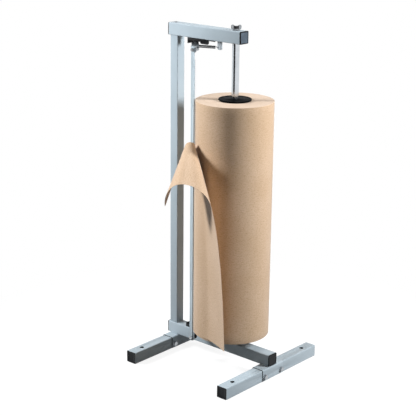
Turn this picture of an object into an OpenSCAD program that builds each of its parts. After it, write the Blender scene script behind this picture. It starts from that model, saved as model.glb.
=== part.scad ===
// Floor-standing gift wrap paper cutter: a square-tube frame, an upright roll on a
// shaft, and a sprung cutter bar that rests against the paper.
// Millimetres, +Z up. The origin is on the floor, centred between the four floor screws.
// X runs along the base beam toward the shaft side, Y along the feet.

/* [Frame] */
// Outer side of the square tube of the feet, beam and arm
tube_side = 38.1; // [34:0.1:44]
// Wall of every square tube
tube_wall = 1.6; // [1.2:0.1:2.5]
// Outer corner radius of every square tube
tube_corner = 3; // [2:0.1:4]
// Outer side of the square post
post_side = 31.8; // [26:0.1:33]
// Height of the post between the beam and the arm
post_h = 954; // [900:1:1100]
// Distance from the origin back to the middle of the post
post_back = 198.5; // [188:0.5:215]
// Length of each foot
foot_l = 444.5; // [380:0.5:560]
// Distance between the middles of the two feet
foot_span = 384; // [350:1:440]
// Distance between the two floor screws of one foot
screw_span = 346; // [300:1:360]
// Radius of a floor screw hole
screw_hole_r = 6.75; // [4:0.05:9]
// How far the arm reaches past the shaft
arm_past = 28.8; // [24:0.1:60]

/* [Caps and saddles] */
// Thickness of a beam or arm cap's head
cap_head = 3.6; // [2:0.1:6]
// Depth of a cap's skirt in the tube
cap_skirt = 16; // [10:0.5:24]
// Wall of a cap's skirt
cap_wall = 2; // [1.5:0.1:3]
// Clearance round a cap's skirt
cap_gap = 0.1; // [0.05:0.01:0.2]
// How deep a foot's cap sits inside the tube
cap_inset = 0.6; // [0.3:0.1:1.5]
// Plate of a saddle
saddle_t = 2.1; // [1.5:0.1:3.5]
// Length of a saddle along its foot
saddle_l = 102; // [90:1:140]
// How far a saddle's sides reach down from the top of the foot
saddle_drop = 36; // [30:0.5:36]
// Distance between the two bolts of a saddle
saddle_bolt_span = 80; // [60:1:82]
// Height of a saddle's bolts above the floor
saddle_bolt_z = 16; // [13:0.5:24]

/* [Shaft] */
// Distance from the origin forward to the shaft
shaft_x = 38.5; // [30:0.5:46]
// Diameter of the shaft
shaft_d = 22.2; // [19:0.1:26]
// Diameter of the stud that passes through the arm
stud_d = 10; // [8:0.5:12]
// Radius of the collar under the roll
collar_r = 20; // [17:0.5:24]
// Height of the collar under the roll
collar_h = 25.4; // [18:0.1:30]
// Radius of the thrust washer
thrust_r = 32; // [26:0.5:36]
// Thickness of the thrust washer
thrust_t = 3; // [2:0.1:4]
// Running gap above the thrust washer
thrust_gap = 0.3; // [0.2:0.05:0.5]

/* [Paper roll] */
// Outer diameter of the wound paper
roll_d = 239; // [200:1:244]
// Height of the roll
roll_h = 748; // [640:1:800]
// Inner diameter of the core tube
core_id = 76.2; // [70:0.1:80]
// Wall of the core tube
core_wall = 5; // [3:0.5:8]
// Radius of a core plug's flange
plug_flange_r = 50.8; // [46:0.1:60]
// Thickness of a core plug's flange
plug_flange_t = 5; // [3:0.5:7]
// Depth of a core plug's skirt in the core
plug_depth = 40; // [25:1:60]
// Running clearance of the plugs on the shaft, on the radius
plug_gap = 0.08; // [0.05:0.01:0.15]

/* [Cutter] */
// Distance from the shaft back to the cutter's pivots
pivot_back = 164; // [160:0.5:172]
// Distance from the pivots to the tips of the teeth
reach = 102.4; // [98:0.1:108]
// Turn of the bar on the levers
bar_cant = 47.5; // [42:0.5:53]
// Width of the cutter bar
bar_w = 12; // [10:0.1:14]
// Thickness of the cutter bar
bar_t = 3; // [2:0.1:4]
// Thickness of the blade
blade_t = 0.8; // [0.6:0.1:1.2]
// How far the teeth stand proud of the bar
tooth_out = 2; // [1.5:0.1:3]
// Distance from tooth to tooth
tooth_pitch = 6; // [4:0.5:10]
// Number of rivets that hold the blade
rivets = 8; // [5:1:12]
// Width of a lever
lever_w = 22; // [18:0.5:24]
// Thickness of a lever
lever_t = 4; // [3:0.1:5]
// Gap between the teeth and the paper at rest
blade_gap = 0.4; // [0.3:0.05:0.8]
// Diameter of the pivot bolts
pivot_d = 8; // [6:0.5:10]
// Running clearance of the levers on the pivot bolts, on the radius
pivot_gap = 0.08; // [0.05:0.01:0.1]
// Distance from the pivot to a spring's pin on the lever
spring_arm = 36; // [30:0.5:40]
// Distance from the shaft back to the spring anchors
anchor_back = 66.8; // [62:0.1:72]
// Outer diameter of a spring
spring_d = 9.4; // [8:0.1:10]
// Wire of a spring
spring_wire = 1.4; // [1:0.1:1.5]
// Diameter of the rubber bumper behind the bar's foot
bumper_d = 20; // [13:0.5:20]
// Length of the rubber bumper
bumper_l = 14.5; // [12:0.5:15]
// Pitch of a spring's coils at rest, as a multiple of its wire
spring_pitch = 1.45; // [1.25:0.05:2.2]

/* [Paper tail] */
// Thickness of the drawn-off sheet
sheet_t = 0.8; // [0.6:0.05:1]
// Gap between the wound paper and the drawn-off sheet
sheet_gap = 0.3; // [0.25:0.05:0.5]
// Width of paper drawn past the blade
tail_w = 235; // [200:1:240]
// Height above the roll's foot at which the tear stops
tear_h = 654.3; // [600:0.1:680]
// How much higher than the roll's foot the sheet's free lower corner is cut, laid flat
hem_rise = 17; // [0:1:30]
// Height above the roll's foot of the sheet's torn corner, laid flat
corner_h = 747.9; // [720:0.1:747.9]

/* [Hidden] */
$fn = 48;

touch = 0.3;            // gap between pieces that move past each other
bolt_gap = 0.2;         // radial clearance of a plain bolt hole
eps = 1;                // overshoot of a cutting tool

foot_x = foot_span / 2;
foot_top = tube_side;
beam_z = foot_top + saddle_t;
beam_top = beam_z + tube_side;
arm_z = beam_top + post_h;
arm_top = arm_z + tube_side;
rear_end = -post_back - tube_side / 2;
beam_front = foot_x + tube_side / 2 - cap_head;
arm_front = shaft_x + arm_past;
shaft_r = shaft_d / 2;
stud_r = stud_d / 2;
m8_r = 4;
m5_r = 2.5;
m6_r = 3;
head_af = 13;           // M8 hex across flats
head_h = 5.3;
nut_h = 6.5;

collar_top = beam_top + collar_h;
thrust_top = collar_top + thrust_t;
roll_z = thrust_top + thrust_gap + plug_flange_t;
roll_r = roll_d / 2;
core_r = core_id / 2;

washer_t = 1.6;
nut_z = arm_top + washer_t + touch;
wing_hub_h = 9;
wing_h = 15.6;
wing_span = 35;
wing_t = 5;
wing_lobe = 5.2;
wing_turn = 41;

// Cutter layout: the levers turn until the teeth stop just short of the paper.
sheet_r = roll_r + sheet_gap;
tip_gap_r = sheet_r + sheet_t + blade_gap;
pivot_x = shaft_x - pivot_back;
rest_turn = acos((pivot_back * pivot_back + reach * reach - tip_gap_r * tip_gap_r)
    / (2 * pivot_back * reach));
tip_x = pivot_x + reach * cos(rest_turn);
tip_y = -reach * sin(rest_turn);
tip_turn = 180 + atan2(-tip_y, shaft_x - tip_x);

bracket_t = 3;
bracket_l = 86;
bracket_w = 32;
bracket_lip = 6;
bracket_tails = [13, 18.3];   // depth of the back lip, lower and upper
bracket_x = pivot_x - lever_w / 2 - 3 - bracket_t;
bracket_screw_x = [38, 74];
spacer_h = 8;
upper_lever_z = arm_z - bracket_t - spacer_h - touch - lever_t;
lower_lever_z = beam_top + bracket_t + spacer_h + 2.6 + touch;
pivot_r = pivot_d / 2;
pivot_head_af = pivot_d * 1.625;
pivot_head_h = 5.3;
spacer_af = pivot_head_af + 1;

upper_bolt_z = upper_lever_z - 7.3;
bumper_r = bumper_d / 2;
lower_bolt_z = lower_lever_z - bumper_r - 1.4;
upper_plate_w = 20;
lower_plate_w = 24;
plate_t = 4;
bar_u = -tooth_out - bar_w / 2;
bar_low = lower_bolt_z - 8;
bar_high = upper_bolt_z + 8;
blade_low = lower_lever_z + lever_t + 8;
blade_high = upper_bolt_z - upper_plate_w / 2 - 15;
blade_back = 10;

upper_spring_z = upper_lever_z - spring_d / 2 - 1.2;
lower_spring_z = lower_lever_z + lever_t + spring_d / 2 + 0.8;
anchor_x = shaft_x - anchor_back;
anchor_w = 17;
anchor_t = 4;
anchor_hole_r = 2.4;
anchor_edge = 4.7;        // from the hole to the tab's edge on the spring's side
pin_r = 2.5;
pin_x = pivot_x + spring_arm * cos(rest_turn);
pin_y = -spring_arm * sin(rest_turn);
eye_r = (spring_d - spring_wire) / 2;
// Centre of the spring's far eye, on the tab's middle plane, so that its wire clears the hole
eye_x = anchor_x - anchor_hole_r + spring_wire / 2 + 0.3
    - sqrt(pow(eye_r, 2) - pow(anchor_t / 2, 2));

module rsq(w, h, r) {
    square([w - 2 * r, h], center = true);
    square([w, h - 2 * r], center = true);
    for (x = [-1, 1], y = [-1, 1])
        translate([x * (w / 2 - r), y * (h / 2 - r)]) circle(r = r);
}

module tube_ring(side) {
    difference() {
        rsq(side, side, tube_corner);
        rsq(side - 2 * tube_wall, side - 2 * tube_wall, max(tube_corner - tube_wall, 0.6));
    }
}

// Square tube along X from x0 to x1, its underside at z0
module tube_x(x0, x1, z0) {
    translate([x0, 0, z0 + tube_side / 2]) rotate([90, 0, 90])
        linear_extrude(x1 - x0) tube_ring(tube_side);
}

module hex_head(af, h) {
    cylinder(h = h, r = af / sqrt(3), $fn = 6);
}

module ring(r_out, r_in, h) {
    difference() {
        cylinder(h = h, r = r_out);
        translate([0, 0, -eps]) cylinder(h = h + 2 * eps, r = r_in);
    }
}

// Hex nut with its thread as a plain bore
module hex_nut(af, h, bore_r) {
    difference() {
        hex_head(af, h);
        translate([0, 0, -eps]) cylinder(h = h + 2 * eps, r = bore_r);
    }
}

module at_cutter() {
    translate([pivot_x, 0, 0]) rotate([0, 0, -rest_turn]) children();
}

module at_bar() {
    at_cutter() translate([reach, 0, 0]) rotate([0, 0, bar_cant]) children();
}

// Extrudes a (u, z) outline through the bar's thickness, from v0 to v1
module across_bar(v0, v1) {
    at_bar() translate([0, v1, 0]) rotate([90, 0, 0]) linear_extrude(v1 - v0) children();
}

module base_beam() {
    color("silver") difference() {
        tube_x(rear_end, beam_front, beam_z);
        translate([shaft_x, 0, beam_top - tube_wall - eps])
            cylinder(h = tube_wall + 2 * eps, r = shaft_r + bolt_gap);
        translate([shaft_x, 0, beam_z - eps])
            cylinder(h = tube_wall + 2 * eps, r = m8_r + bolt_gap);
        translate([pivot_x, 0, beam_top - tube_wall - eps])
            cylinder(h = tube_wall + 2 * eps, r = pivot_r + bolt_gap);
        for (x = bracket_screw_x) translate([bracket_x + x, 0, beam_top - tube_wall - eps])
            cylinder(h = tube_wall + 2 * eps, r = m5_r + 0.05);
    }
}

module post() {
    color("silver") translate([-post_back, 0, beam_top])
        linear_extrude(post_h) tube_ring(post_side);
}

module top_arm() {
    color("silver") difference() {
        tube_x(rear_end, arm_front, arm_z);
        translate([shaft_x, 0, arm_z - eps])
            cylinder(h = tube_side + 2 * eps, r = stud_r + bolt_gap);
        translate([pivot_x, 0, arm_z - eps])
            cylinder(h = tube_wall + 2 * eps, r = pivot_r + bolt_gap);
        for (x = bracket_screw_x) translate([bracket_x + x, 0, arm_z - eps])
            cylinder(h = tube_wall + 2 * eps, r = m5_r + 0.05);
        translate([-post_back - 5.5, 0, arm_top - tube_wall - eps])
            cylinder(h = tube_wall + 2 * eps, r = m5_r + 0.05);
    }
}

module foot_tube() {
    difference() {
        translate([0, foot_l / 2, tube_side / 2]) rotate([90, 0, 0])
            linear_extrude(foot_l) tube_ring(tube_side);
        for (y = [-1, 1]) translate([0, y * screw_span / 2, -eps])
            cylinder(h = tube_side + 2 * eps, r = screw_hole_r);
        for (y = [-1, 1]) translate([-tube_side, y * saddle_bolt_span / 2, saddle_bolt_z])
            rotate([0, 90, 0]) cylinder(h = 2 * tube_side, r = m8_r + bolt_gap);
    }
}

module front_foot() {
    color("silver") translate([foot_x, 0, 0]) foot_tube();
}

module rear_foot() {
    color("silver") translate([-foot_x, 0, 0]) foot_tube();
}

// Pressed channel that clips over a foot and carries the beam
module saddle() {
    outer = tube_side + 2 * saddle_t;
    low = foot_top - saddle_drop;
    difference() {
        translate([0, saddle_l / 2, 0]) rotate([90, 0, 0]) linear_extrude(saddle_l)
            difference() {
                translate([0, foot_top - tube_side / 2])
                    rsq(outer, outer, tube_corner + saddle_t);
                translate([0, tube_side / 2]) rsq(tube_side, tube_side, tube_corner);
                translate([-outer, low - 2 * outer]) square([2 * outer, 2 * outer]);
                translate([-tube_side / 2, low - eps]) square([tube_side, tube_side / 3]);
            }
        for (y = [-1, 1]) translate([-outer, y * saddle_bolt_span / 2, saddle_bolt_z])
            rotate([0, 90, 0]) cylinder(h = 2 * outer, r = m8_r + bolt_gap);
    }
}

module front_saddle() {
    color("silver") translate([foot_x, 0, 0]) saddle();
}

module rear_saddle() {
    color("silver") translate([-foot_x, 0, 0]) saddle();
}

saddle_out = tube_side / 2 + saddle_t;

module saddle_bolts() {
    color("gainsboro") for (x = [-1, 1], y = [-1, 1])
        translate([x * foot_x, y * saddle_bolt_span / 2, saddle_bolt_z]) rotate([0, 90, 0]) {
            translate([0, 0, -saddle_out - 10.5]) cylinder(h = 2 * saddle_out + 11, r = m8_r);
            translate([0, 0, saddle_out]) cylinder(h = washer_t, r = 8);
            translate([0, 0, saddle_out + washer_t]) hex_head(head_af, head_h);
        }
}

module saddle_nuts() {
    color("gainsboro") for (x = [-1, 1], y = [-1, 1])
        translate([x * foot_x - saddle_out, y * saddle_bolt_span / 2, saddle_bolt_z])
            rotate([0, -90, 0]) {
                ring(8, m8_r + 0.05, washer_t);
                translate([0, 0, washer_t]) hex_nut(head_af, nut_h, m8_r + 0.05);
            }
}

weld = 3;

// Fillet welds: under the beam at both saddles, and at both ends of the post
module weld_beads() {
    color("silver") {
        for (x = [-1, 1]) translate([x * foot_x - 15, 0, beam_z])
            rotate([90, 0, 90]) linear_extrude(30) difference() {
                polygon([[-tube_side / 2 - weld, 0], [tube_side / 2 + weld, 0],
                    [tube_side / 2, weld + 1], [-tube_side / 2, weld + 1]]);
                translate([0, tube_side / 2]) rsq(tube_side, tube_side, tube_corner);
                square([tube_side - 2 * tube_corner, 2], center = true);
            }
        for (x = [-1, 1], up = [0, 1])
            translate([-post_back + x * post_side / 2, 0, up == 1 ? arm_z : beam_top])
                mirror([x < 0 ? 1 : 0, 0, 0]) mirror([0, 0, up])
                    translate([0, post_side / 2 - tube_corner, 0]) rotate([90, 0, 0])
                        linear_extrude(post_side - 2 * tube_corner)
                            polygon([[0, 0], [weld - 0.2, 0], [0, weld + 1]]);
    }
}

// Pressed-in cap for a tube end. The tube's end face is z = 0 and the tube lies below it.
module tube_cap(head_side, head_t, drop) {
    inner = tube_side - 2 * tube_wall - 2 * cap_gap;
    translate([0, 0, drop]) linear_extrude(head_t) rsq(head_side, head_side, tube_corner);
    translate([0, 0, drop - cap_skirt]) linear_extrude(cap_skirt) difference() {
        rsq(inner, inner, 1.2);
        rsq(inner - 2 * cap_wall, inner - 2 * cap_wall, 1);
    }
}

module beam_front_cap() {
    color("dimgray") translate([beam_front, 0, beam_z + tube_side / 2]) rotate([0, 90, 0])
        tube_cap(tube_side, cap_head, 0);
}

module beam_rear_cap() {
    color("dimgray") translate([rear_end, 0, beam_z + tube_side / 2]) rotate([0, -90, 0])
        tube_cap(tube_side, cap_head, 0);
}

module arm_front_cap() {
    color("dimgray") translate([arm_front, 0, arm_z + tube_side / 2]) rotate([0, 90, 0])
        tube_cap(tube_side, cap_head, 0);
}

module arm_rear_cap() {
    color("dimgray") translate([rear_end, 0, arm_z + tube_side / 2]) rotate([0, -90, 0])
        tube_cap(tube_side, cap_head, 0);
}

module foot_caps(x) {
    side = tube_side - 2 * tube_wall - 2 * cap_gap;
    for (y = [-1, 1]) translate([x, y * foot_l / 2, tube_side / 2])
        rotate([-y * 90, 0, 0]) tube_cap(side, 2.4, -2.4 - cap_inset);
}

module front_foot_caps() {
    color("dimgray") foot_caps(foot_x);
}

module rear_foot_caps() {
    color("dimgray") foot_caps(-foot_x);
}

module arm_screw() {
    color("gainsboro") translate([-post_back - 5.5, 0, arm_top]) {
        difference() {
            intersection() {
                cylinder(h = 2.6, r = 4.6);
                translate([0, 0, -4.4]) sphere(r = 7);
            }
            translate([0, 0, 1.4]) cylinder(h = 3, r = 1.9, $fn = 6);
        }
        translate([0, 0, -tube_wall]) cylinder(h = tube_wall + 0.4, r = m5_r);
    }
}

module shaft() {
    color("lightgray") translate([shaft_x, 0, 0]) difference() {
        union() {
            translate([0, 0, beam_z + tube_wall])
                cylinder(h = arm_z - beam_z - tube_wall, r = shaft_r);
            translate([0, 0, arm_z - eps])
                cylinder(h = nut_z + wing_hub_h + 3 - arm_z + eps, r = stud_r);
        }
        translate([0, 0, beam_z]) cylinder(h = 30, r = m8_r + 0.05);
    }
}

module shaft_base_bolt() {
    color("gainsboro") translate([shaft_x, 0, beam_z]) {
        translate([0, 0, -washer_t]) cylinder(h = washer_t, r = 9);
        translate([0, 0, -washer_t - head_h]) hex_head(head_af, head_h);
        cylinder(h = 24, r = m8_r);
    }
}

set_screw_z = beam_top + 12.7;

module thrust_collar() {
    color("gray") difference() {
        translate([shaft_x, 0, beam_top]) ring(collar_r, shaft_r + 0.05, collar_h);
        translate([shaft_x, 0, set_screw_z]) rotate([0, -90, 0])
            cylinder(h = collar_r + 4, r = m6_r + 0.05);
    }
}

module collar_set_screw() {
    color("dimgray") translate([shaft_x, 0, set_screw_z]) rotate([0, -90, 0]) difference() {
        translate([0, 0, shaft_r + 0.05]) cylinder(h = collar_r - shaft_r - 1, r = m6_r);
        translate([0, 0, collar_r - 4]) cylinder(h = 4, r = 1.7, $fn = 6);
    }
}

module thrust_washer() {
    color("gray") translate([shaft_x, 0, collar_top]) ring(thrust_r, shaft_r + 0.1, thrust_t);
}

module arm_washer() {
    color("gainsboro") translate([shaft_x, 0, arm_top]) ring(11, stud_r + bolt_gap, washer_t);
}

// Wing nut: a tapered hub with two rounded ears
module wing_nut() {
    color("gainsboro") translate([shaft_x, 0, nut_z]) rotate([0, 0, wing_turn])
        difference() {
            union() {
                cylinder(h = wing_hub_h, r1 = 8.6, r2 = 7.2);
                translate([0, wing_t / 2, 0]) rotate([90, 0, 0]) linear_extrude(wing_t)
                    for (s = [-1, 1]) {
                        polygon([[0, 0.8], [s * 8, 0.8], [s * (wing_span / 2 - 1.4), 4.4],
                            [s * (wing_span / 2), wing_h - wing_lobe],
                            [s * (wing_span / 2 - wing_lobe), wing_h],
                            [s * 7.4, wing_hub_h], [0, wing_hub_h]]);
                        translate([s * (wing_span / 2 - wing_lobe), wing_h - wing_lobe])
                            circle(r = wing_lobe);
                    }
            }
            translate([0, 0, -eps]) cylinder(h = wing_h + 2 * eps, r = stud_r + 0.08);
        }
}

// Pressed bracket: a plate with two long lips and a deep lip at its back end.
// The plate's seat is z = 0 and the lips go down.
module bracket(tail) {
    difference() {
        translate([bracket_x, 0, 0]) {
            translate([0, -bracket_w / 2, -bracket_t]) cube([bracket_l, bracket_w, bracket_t]);
            for (y = [-1, 1]) translate([0, y * (bracket_w / 2 - 1.25) - 1.25, -bracket_t - bracket_lip])
                cube([bracket_l, 2.5, bracket_lip + eps]);
            translate([0, -bracket_w / 2, -tail]) cube([bracket_t, bracket_w, tail]);
        }
        translate([pivot_x, 0, -bracket_t - eps])
            cylinder(h = bracket_t + 2 * eps, r = pivot_r + bolt_gap);
        for (x = bracket_screw_x) translate([bracket_x + x, 0, -bracket_t - eps])
            cylinder(h = bracket_t + 2 * eps, r = m5_r + bolt_gap);
    }
}

module upper_bracket() {
    color("black") translate([0, 0, arm_z]) bracket(bracket_tails[1]);
}

module lower_bracket() {
    color("black") translate([0, 0, beam_top]) mirror([0, 0, 1]) bracket(bracket_tails[0]);
}

// Cap-head screws of both brackets
module bracket_screws() {
    color("dimgray") for (up = [0, 1]) translate([0, 0, up == 1 ? arm_z : beam_top])
        mirror([0, 0, up == 1 ? 0 : 1])
            for (x = bracket_screw_x) translate([bracket_x + x, 0, 0]) {
                translate([0, 0, -bracket_t - 3]) cylinder(h = 3, r = 4.2);
                translate([0, 0, -bracket_t]) cylinder(h = bracket_t + 8, r = m5_r);
            }
}

// Shoulder bolt of one pivot. It comes up from a head below z = 0, the lever's face.
module pivot_bolt(shank) {
    translate([0, 0, -touch - washer_t]) cylinder(h = washer_t, r = 8.5);
    translate([0, 0, -touch - washer_t - pivot_head_h]) hex_head(pivot_head_af, pivot_head_h);
    translate([0, 0, -touch]) cylinder(h = shank, r = pivot_r);
}

module upper_pivot_bolt() {
    color("gainsboro") translate([pivot_x, 0, upper_lever_z])
        pivot_bolt(arm_z + 10 - upper_lever_z);
}

module lower_pivot_bolt() {
    color("gainsboro") translate([pivot_x, 0, lower_lever_z + lever_t]) mirror([0, 0, 1])
        pivot_bolt(lower_lever_z + lever_t - beam_top + 10);
}

// Lock nuts of the pivot bolts, inside the arm and the beam
module pivot_nuts() {
    color("gainsboro") {
        translate([pivot_x, 0, arm_z + tube_wall]) hex_nut(pivot_head_af, nut_h, pivot_r + 0.05);
        translate([pivot_x, 0, beam_top - tube_wall]) mirror([0, 0, 1])
            hex_nut(pivot_head_af, nut_h, pivot_r + 0.05);
    }
}

module pivot_spacers() {
    color("gainsboro") {
        translate([pivot_x, 0, upper_lever_z + lever_t + touch])
            hex_nut(spacer_af, arm_z - bracket_t - upper_lever_z - lever_t - touch, pivot_r + 0.05);
        translate([pivot_x, 0, beam_top + bracket_t])
            hex_nut(spacer_af, lower_lever_z - touch - beam_top - bracket_t, pivot_r + 0.05);
    }
}

// Rounded tab with the hole that a spring hooks into; its foot is at z = 0 and it hangs down
module anchor_tab(hole_drop, length) {
    corner = 5;
    translate([anchor_x, anchor_t / 2, 0]) rotate([90, 0, 0]) linear_extrude(anchor_t)
        difference() {
            translate([anchor_w / 2 - anchor_edge, 0]) {
                translate([-anchor_w / 2, -length + corner]) square([anchor_w, length - corner]);
                translate([-anchor_w / 2 + corner, -length])
                    square([anchor_w - 2 * corner, length]);
                for (x = [-1, 1]) translate([x * (anchor_w / 2 - corner), -length + corner])
                    circle(r = corner);
            }
            translate([0, -hole_drop]) circle(r = anchor_hole_r);
        }
}

module upper_spring_anchor() {
    color("lightgray") translate([0, 0, arm_z])
        anchor_tab(arm_z - upper_spring_z, arm_z - upper_spring_z + 6.5);
}

module lower_spring_anchor() {
    color("lightgray") translate([0, 0, beam_top]) mirror([0, 0, 1])
        anchor_tab(lower_spring_z - beam_top, lower_spring_z - beam_top + 6.5);
}

// Extension spring along +X: an eye round the pin at x = 0, a helix, and an eye at x = run
// that passes through the anchor's hole. The wire is swept along one path.
coil_r = eye_r;
coil_steps = 8;
wire_sides = 6;
eye_steps = 12;

function eye_path(x, turn0, turn1) = [for (i = [0 : eye_steps])
    let (a = turn0 + (turn1 - turn0) * i / eye_steps) [x + coil_r * cos(a), coil_r * sin(a), 0]];
function spring_path(run) = let (
    x0 = coil_r - pin_r - spring_wire / 2 - 0.05,
    x1 = run,
    body0 = x0 + coil_r + 3,
    body1 = x1 - coil_r - 3,
    turns = round((body1 - body0) / (spring_wire * spring_pitch)),
    steps = turns * coil_steps)
    concat(eye_path(x0, 330, 90),
        [[x0 + coil_r * 0.55, coil_r * 1.02, 0.1]],
        [for (i = [2 : steps - 2]) let (a = 90 + 360 * i / coil_steps)
            [body0 + (body1 - body0) * i / steps, coil_r * sin(a), coil_r * cos(a)]],
        [[x1 - coil_r * 0.55, coil_r * 1.02, -0.1]],
        eye_path(x1, 90, -150));

function unit(v) = v / norm(v);
function course(path, i) = unit(path[min(i + 1, len(path) - 1)] - path[max(i - 1, 0)]);
function square_to(v, t) = unit(v - t * (v * t));

// Sweeps a round wire along a path, carrying its section along without twist
module swept_wire(path, r) {
    n = len(path);
    ups = [for (i = 0, u = square_to([0, 0.1, 1], course(path, 0)); i < n;
        i = i + 1, u = square_to(u, course(path, min(i, n - 1)))) u];
    points = [for (i = [0 : n - 1]) let (t = course(path, i), u = ups[i], w = cross(t, u))
        for (k = [0 : wire_sides - 1]) let (a = 360 * k / wire_sides)
            path[i] + r * (u * cos(a) + w * sin(a))];
    skin = [for (i = [0 : n - 2]) for (k = [0 : wire_sides - 1])
        let (k1 = (k + 1) % wire_sides, a = i * wire_sides, b = a + wire_sides)
        for (f = [[a + k, b + k, b + k1], [a + k, b + k1, a + k1]]) f];
    ends = [for (k = [1 : wire_sides - 2])
        for (f = [[0, k, k + 1],
            [(n - 1) * wire_sides, (n - 1) * wire_sides + k + 1, (n - 1) * wire_sides + k]]) f];
    polyhedron(points = points, faces = concat(skin, ends));
}

module spring(run) {
    swept_wire(spring_path(run), spring_wire / 2);
}

spring_run = norm([eye_x - pin_x, pin_y]);
spring_turn = atan2(-pin_y, eye_x - pin_x);

module laid_spring(z) {
    translate([pin_x, pin_y, z]) rotate([0, 0, spring_turn]) spring(spring_run);
}

module upper_spring() {
    color("dimgray") laid_spring(upper_spring_z);
}

module lower_spring() {
    color("dimgray") laid_spring(lower_spring_z);
}

module paper_roll() {
    color("burlywood") translate([shaft_x, 0, roll_z]) ring(roll_r, core_r + core_wall, roll_h);
}

module roll_core() {
    color("tan") translate([shaft_x, 0, roll_z]) ring(core_r + core_wall, core_r, roll_h);
}

plug_gap_core = 0.1;
hub_r = 17;

// Core plug: its flange's inner face is z = 0 and its skirt goes up into the core
module core_plug() {
    skirt_r = core_r - plug_gap_core;
    difference() {
        union() {
            translate([0, 0, -plug_flange_t]) cylinder(h = plug_flange_t, r = plug_flange_r);
            ring(skirt_r, skirt_r - 3, plug_depth);
            cylinder(h = plug_depth, r = hub_r);
            for (a = [0 : 60 : 300]) rotate([0, 0, a]) translate([hub_r - 1, -1.5, 0])
                cube([skirt_r - hub_r - 1, 3, plug_depth - 6]);
        }
        translate([0, 0, -plug_flange_t - eps])
            cylinder(h = plug_flange_t + plug_depth + 2 * eps, r = shaft_r + plug_gap);
    }
}

module top_core_plug() {
    color("black") translate([shaft_x, 0, roll_z + roll_h]) mirror([0, 0, 1]) core_plug();
}

module bottom_core_plug() {
    color("black") translate([shaft_x, 0, roll_z]) core_plug();
}

// Paper tail. It leaves the roll just past the blade and is a cone-like fan of straight
// rulings from the end of the tear; fan() gives a ruling's direction, the sheet's course
// and its outward normal at an angle from straight down, measured on the flat sheet.
tail_lead = 2.4;
tail_turn = tip_turn + tail_lead;
sheet_wrap = 18;
fan_curl = [-14, 0.594, 4.152, 1.39];
fan_stop = [1.69, 52.5, 85.3];
apex_r = 57.2;
tail_lift = 10.7;
lift_fade = 400;
tail_clear = 0.8;
fan_course = tail_turn - 262.6;

function spin(v, axis, a) = v * cos(a) + cross(axis, v) * sin(a)
    + axis * (axis * v) * (1 - cos(a));
function bend(s, curl, arc) = let (w = curl * s[0] + s[2], n = norm(w))
    [for (v = s) spin(v, w / n, arc * n)];
function between(a, lo, hi) = max(min(a, hi) - lo, 0);
function fan(a) = let (
    s0 = [[0, 0, -1], [cos(fan_course), sin(fan_course), 0],
        [sin(fan_course), -cos(fan_course), 0]],
    s1 = bend(s0, fan_curl[0], between(a, 0, fan_stop[0])),
    s2 = bend(s1, fan_curl[1], between(a, fan_stop[0], fan_stop[1])),
    s3 = bend(s2, fan_curl[2], between(a, fan_stop[1], fan_stop[2])))
    bend(s3, fan_curl[3], between(a, fan_stop[2], 180));

mid_r = sheet_r + sheet_t / 2;
apex = [shaft_x + mid_r * cos(tail_turn), mid_r * sin(tail_turn), roll_z + tear_h];
foot_angle = atan2(tail_w, tear_h - hem_rise);
corner_angle = 90 + atan2(corner_h - tear_h, tail_w);
fan_end = corner_angle + 0.6;
function ruling(a) = a < foot_angle ? tear_h / (cos(a) + sin(a) * hem_rise / tail_w)
    : a < corner_angle ? tail_w / sin(a) : (corner_h - tear_h) / -cos(a);

rows = 14;
top_rows = 2;
wrap_cols = 5;
fan_angles = concat([0, 0.6, 1.2, 1.8, 3, 5, 7.5, 10.5, 15], [foot_angle],
    [for (i = [1 : 8]) foot_angle + (60 - foot_angle) * i / 8],
    [for (i = [1 : 11]) 60 + (corner_angle - 60) * i / 11],
    [fan_end]);

// Each column is a list of [point, normal], from the sheet's foot up
function wrap_col(i) = let (t = tail_turn - sheet_wrap * (1 - i / wrap_cols),
    n = i == wrap_cols ? fan(0)[2] : [cos(t), sin(t), 0])
    [for (j = [0 : rows + top_rows])
        let (z = j <= rows ? (tear_h - apex_r) * j / rows
            : tear_h - apex_r + (roll_h - tear_h + apex_r) * (j - rows) / top_rows)
        [[shaft_x + mid_r * cos(t), mid_r * sin(t), roll_z + z], n]];
// Keeps a point of the tail outside the roll, blending over soft millimetres
function clear_roll(p, soft) = let (dx = p[0] - shaft_x, d = norm([dx, p[1]]) ,
    over = d - mid_r - tail_clear, kept = mid_r + tail_clear + (over + sqrt(over * over + soft * soft)) / 2)
    [shaft_x + dx * kept / d, p[1] * kept / d, p[2]];
// The tail stands off the roll a little more near the end of the tear
function lifted(a, r) = let (t = min(a / 10, 1))
    tail_lift * t * t * (3 - 2 * t) * exp((apex_r - r) / lift_fade);
function tail_point(a, r) = clear_roll(apex + fan(a)[0] * r
    + lifted(a, r) * [cos(tail_turn), sin(tail_turn), 0], min(5, 0.3 + a * r / 900));
function tail_normal(a, r) = let (n = cross(tail_point(a, r + 0.5) - tail_point(a, r - 0.5),
    tail_point(a + 0.2, r) - tail_point(a - 0.2, r))) n / norm(n);
function fan_col(a) = let (far = ruling(a))
    [for (j = [0 : rows]) let (r = apex_r + (far - apex_r) * (1 - j / rows))
        [tail_point(a, r), tail_normal(a, r)]];

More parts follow.
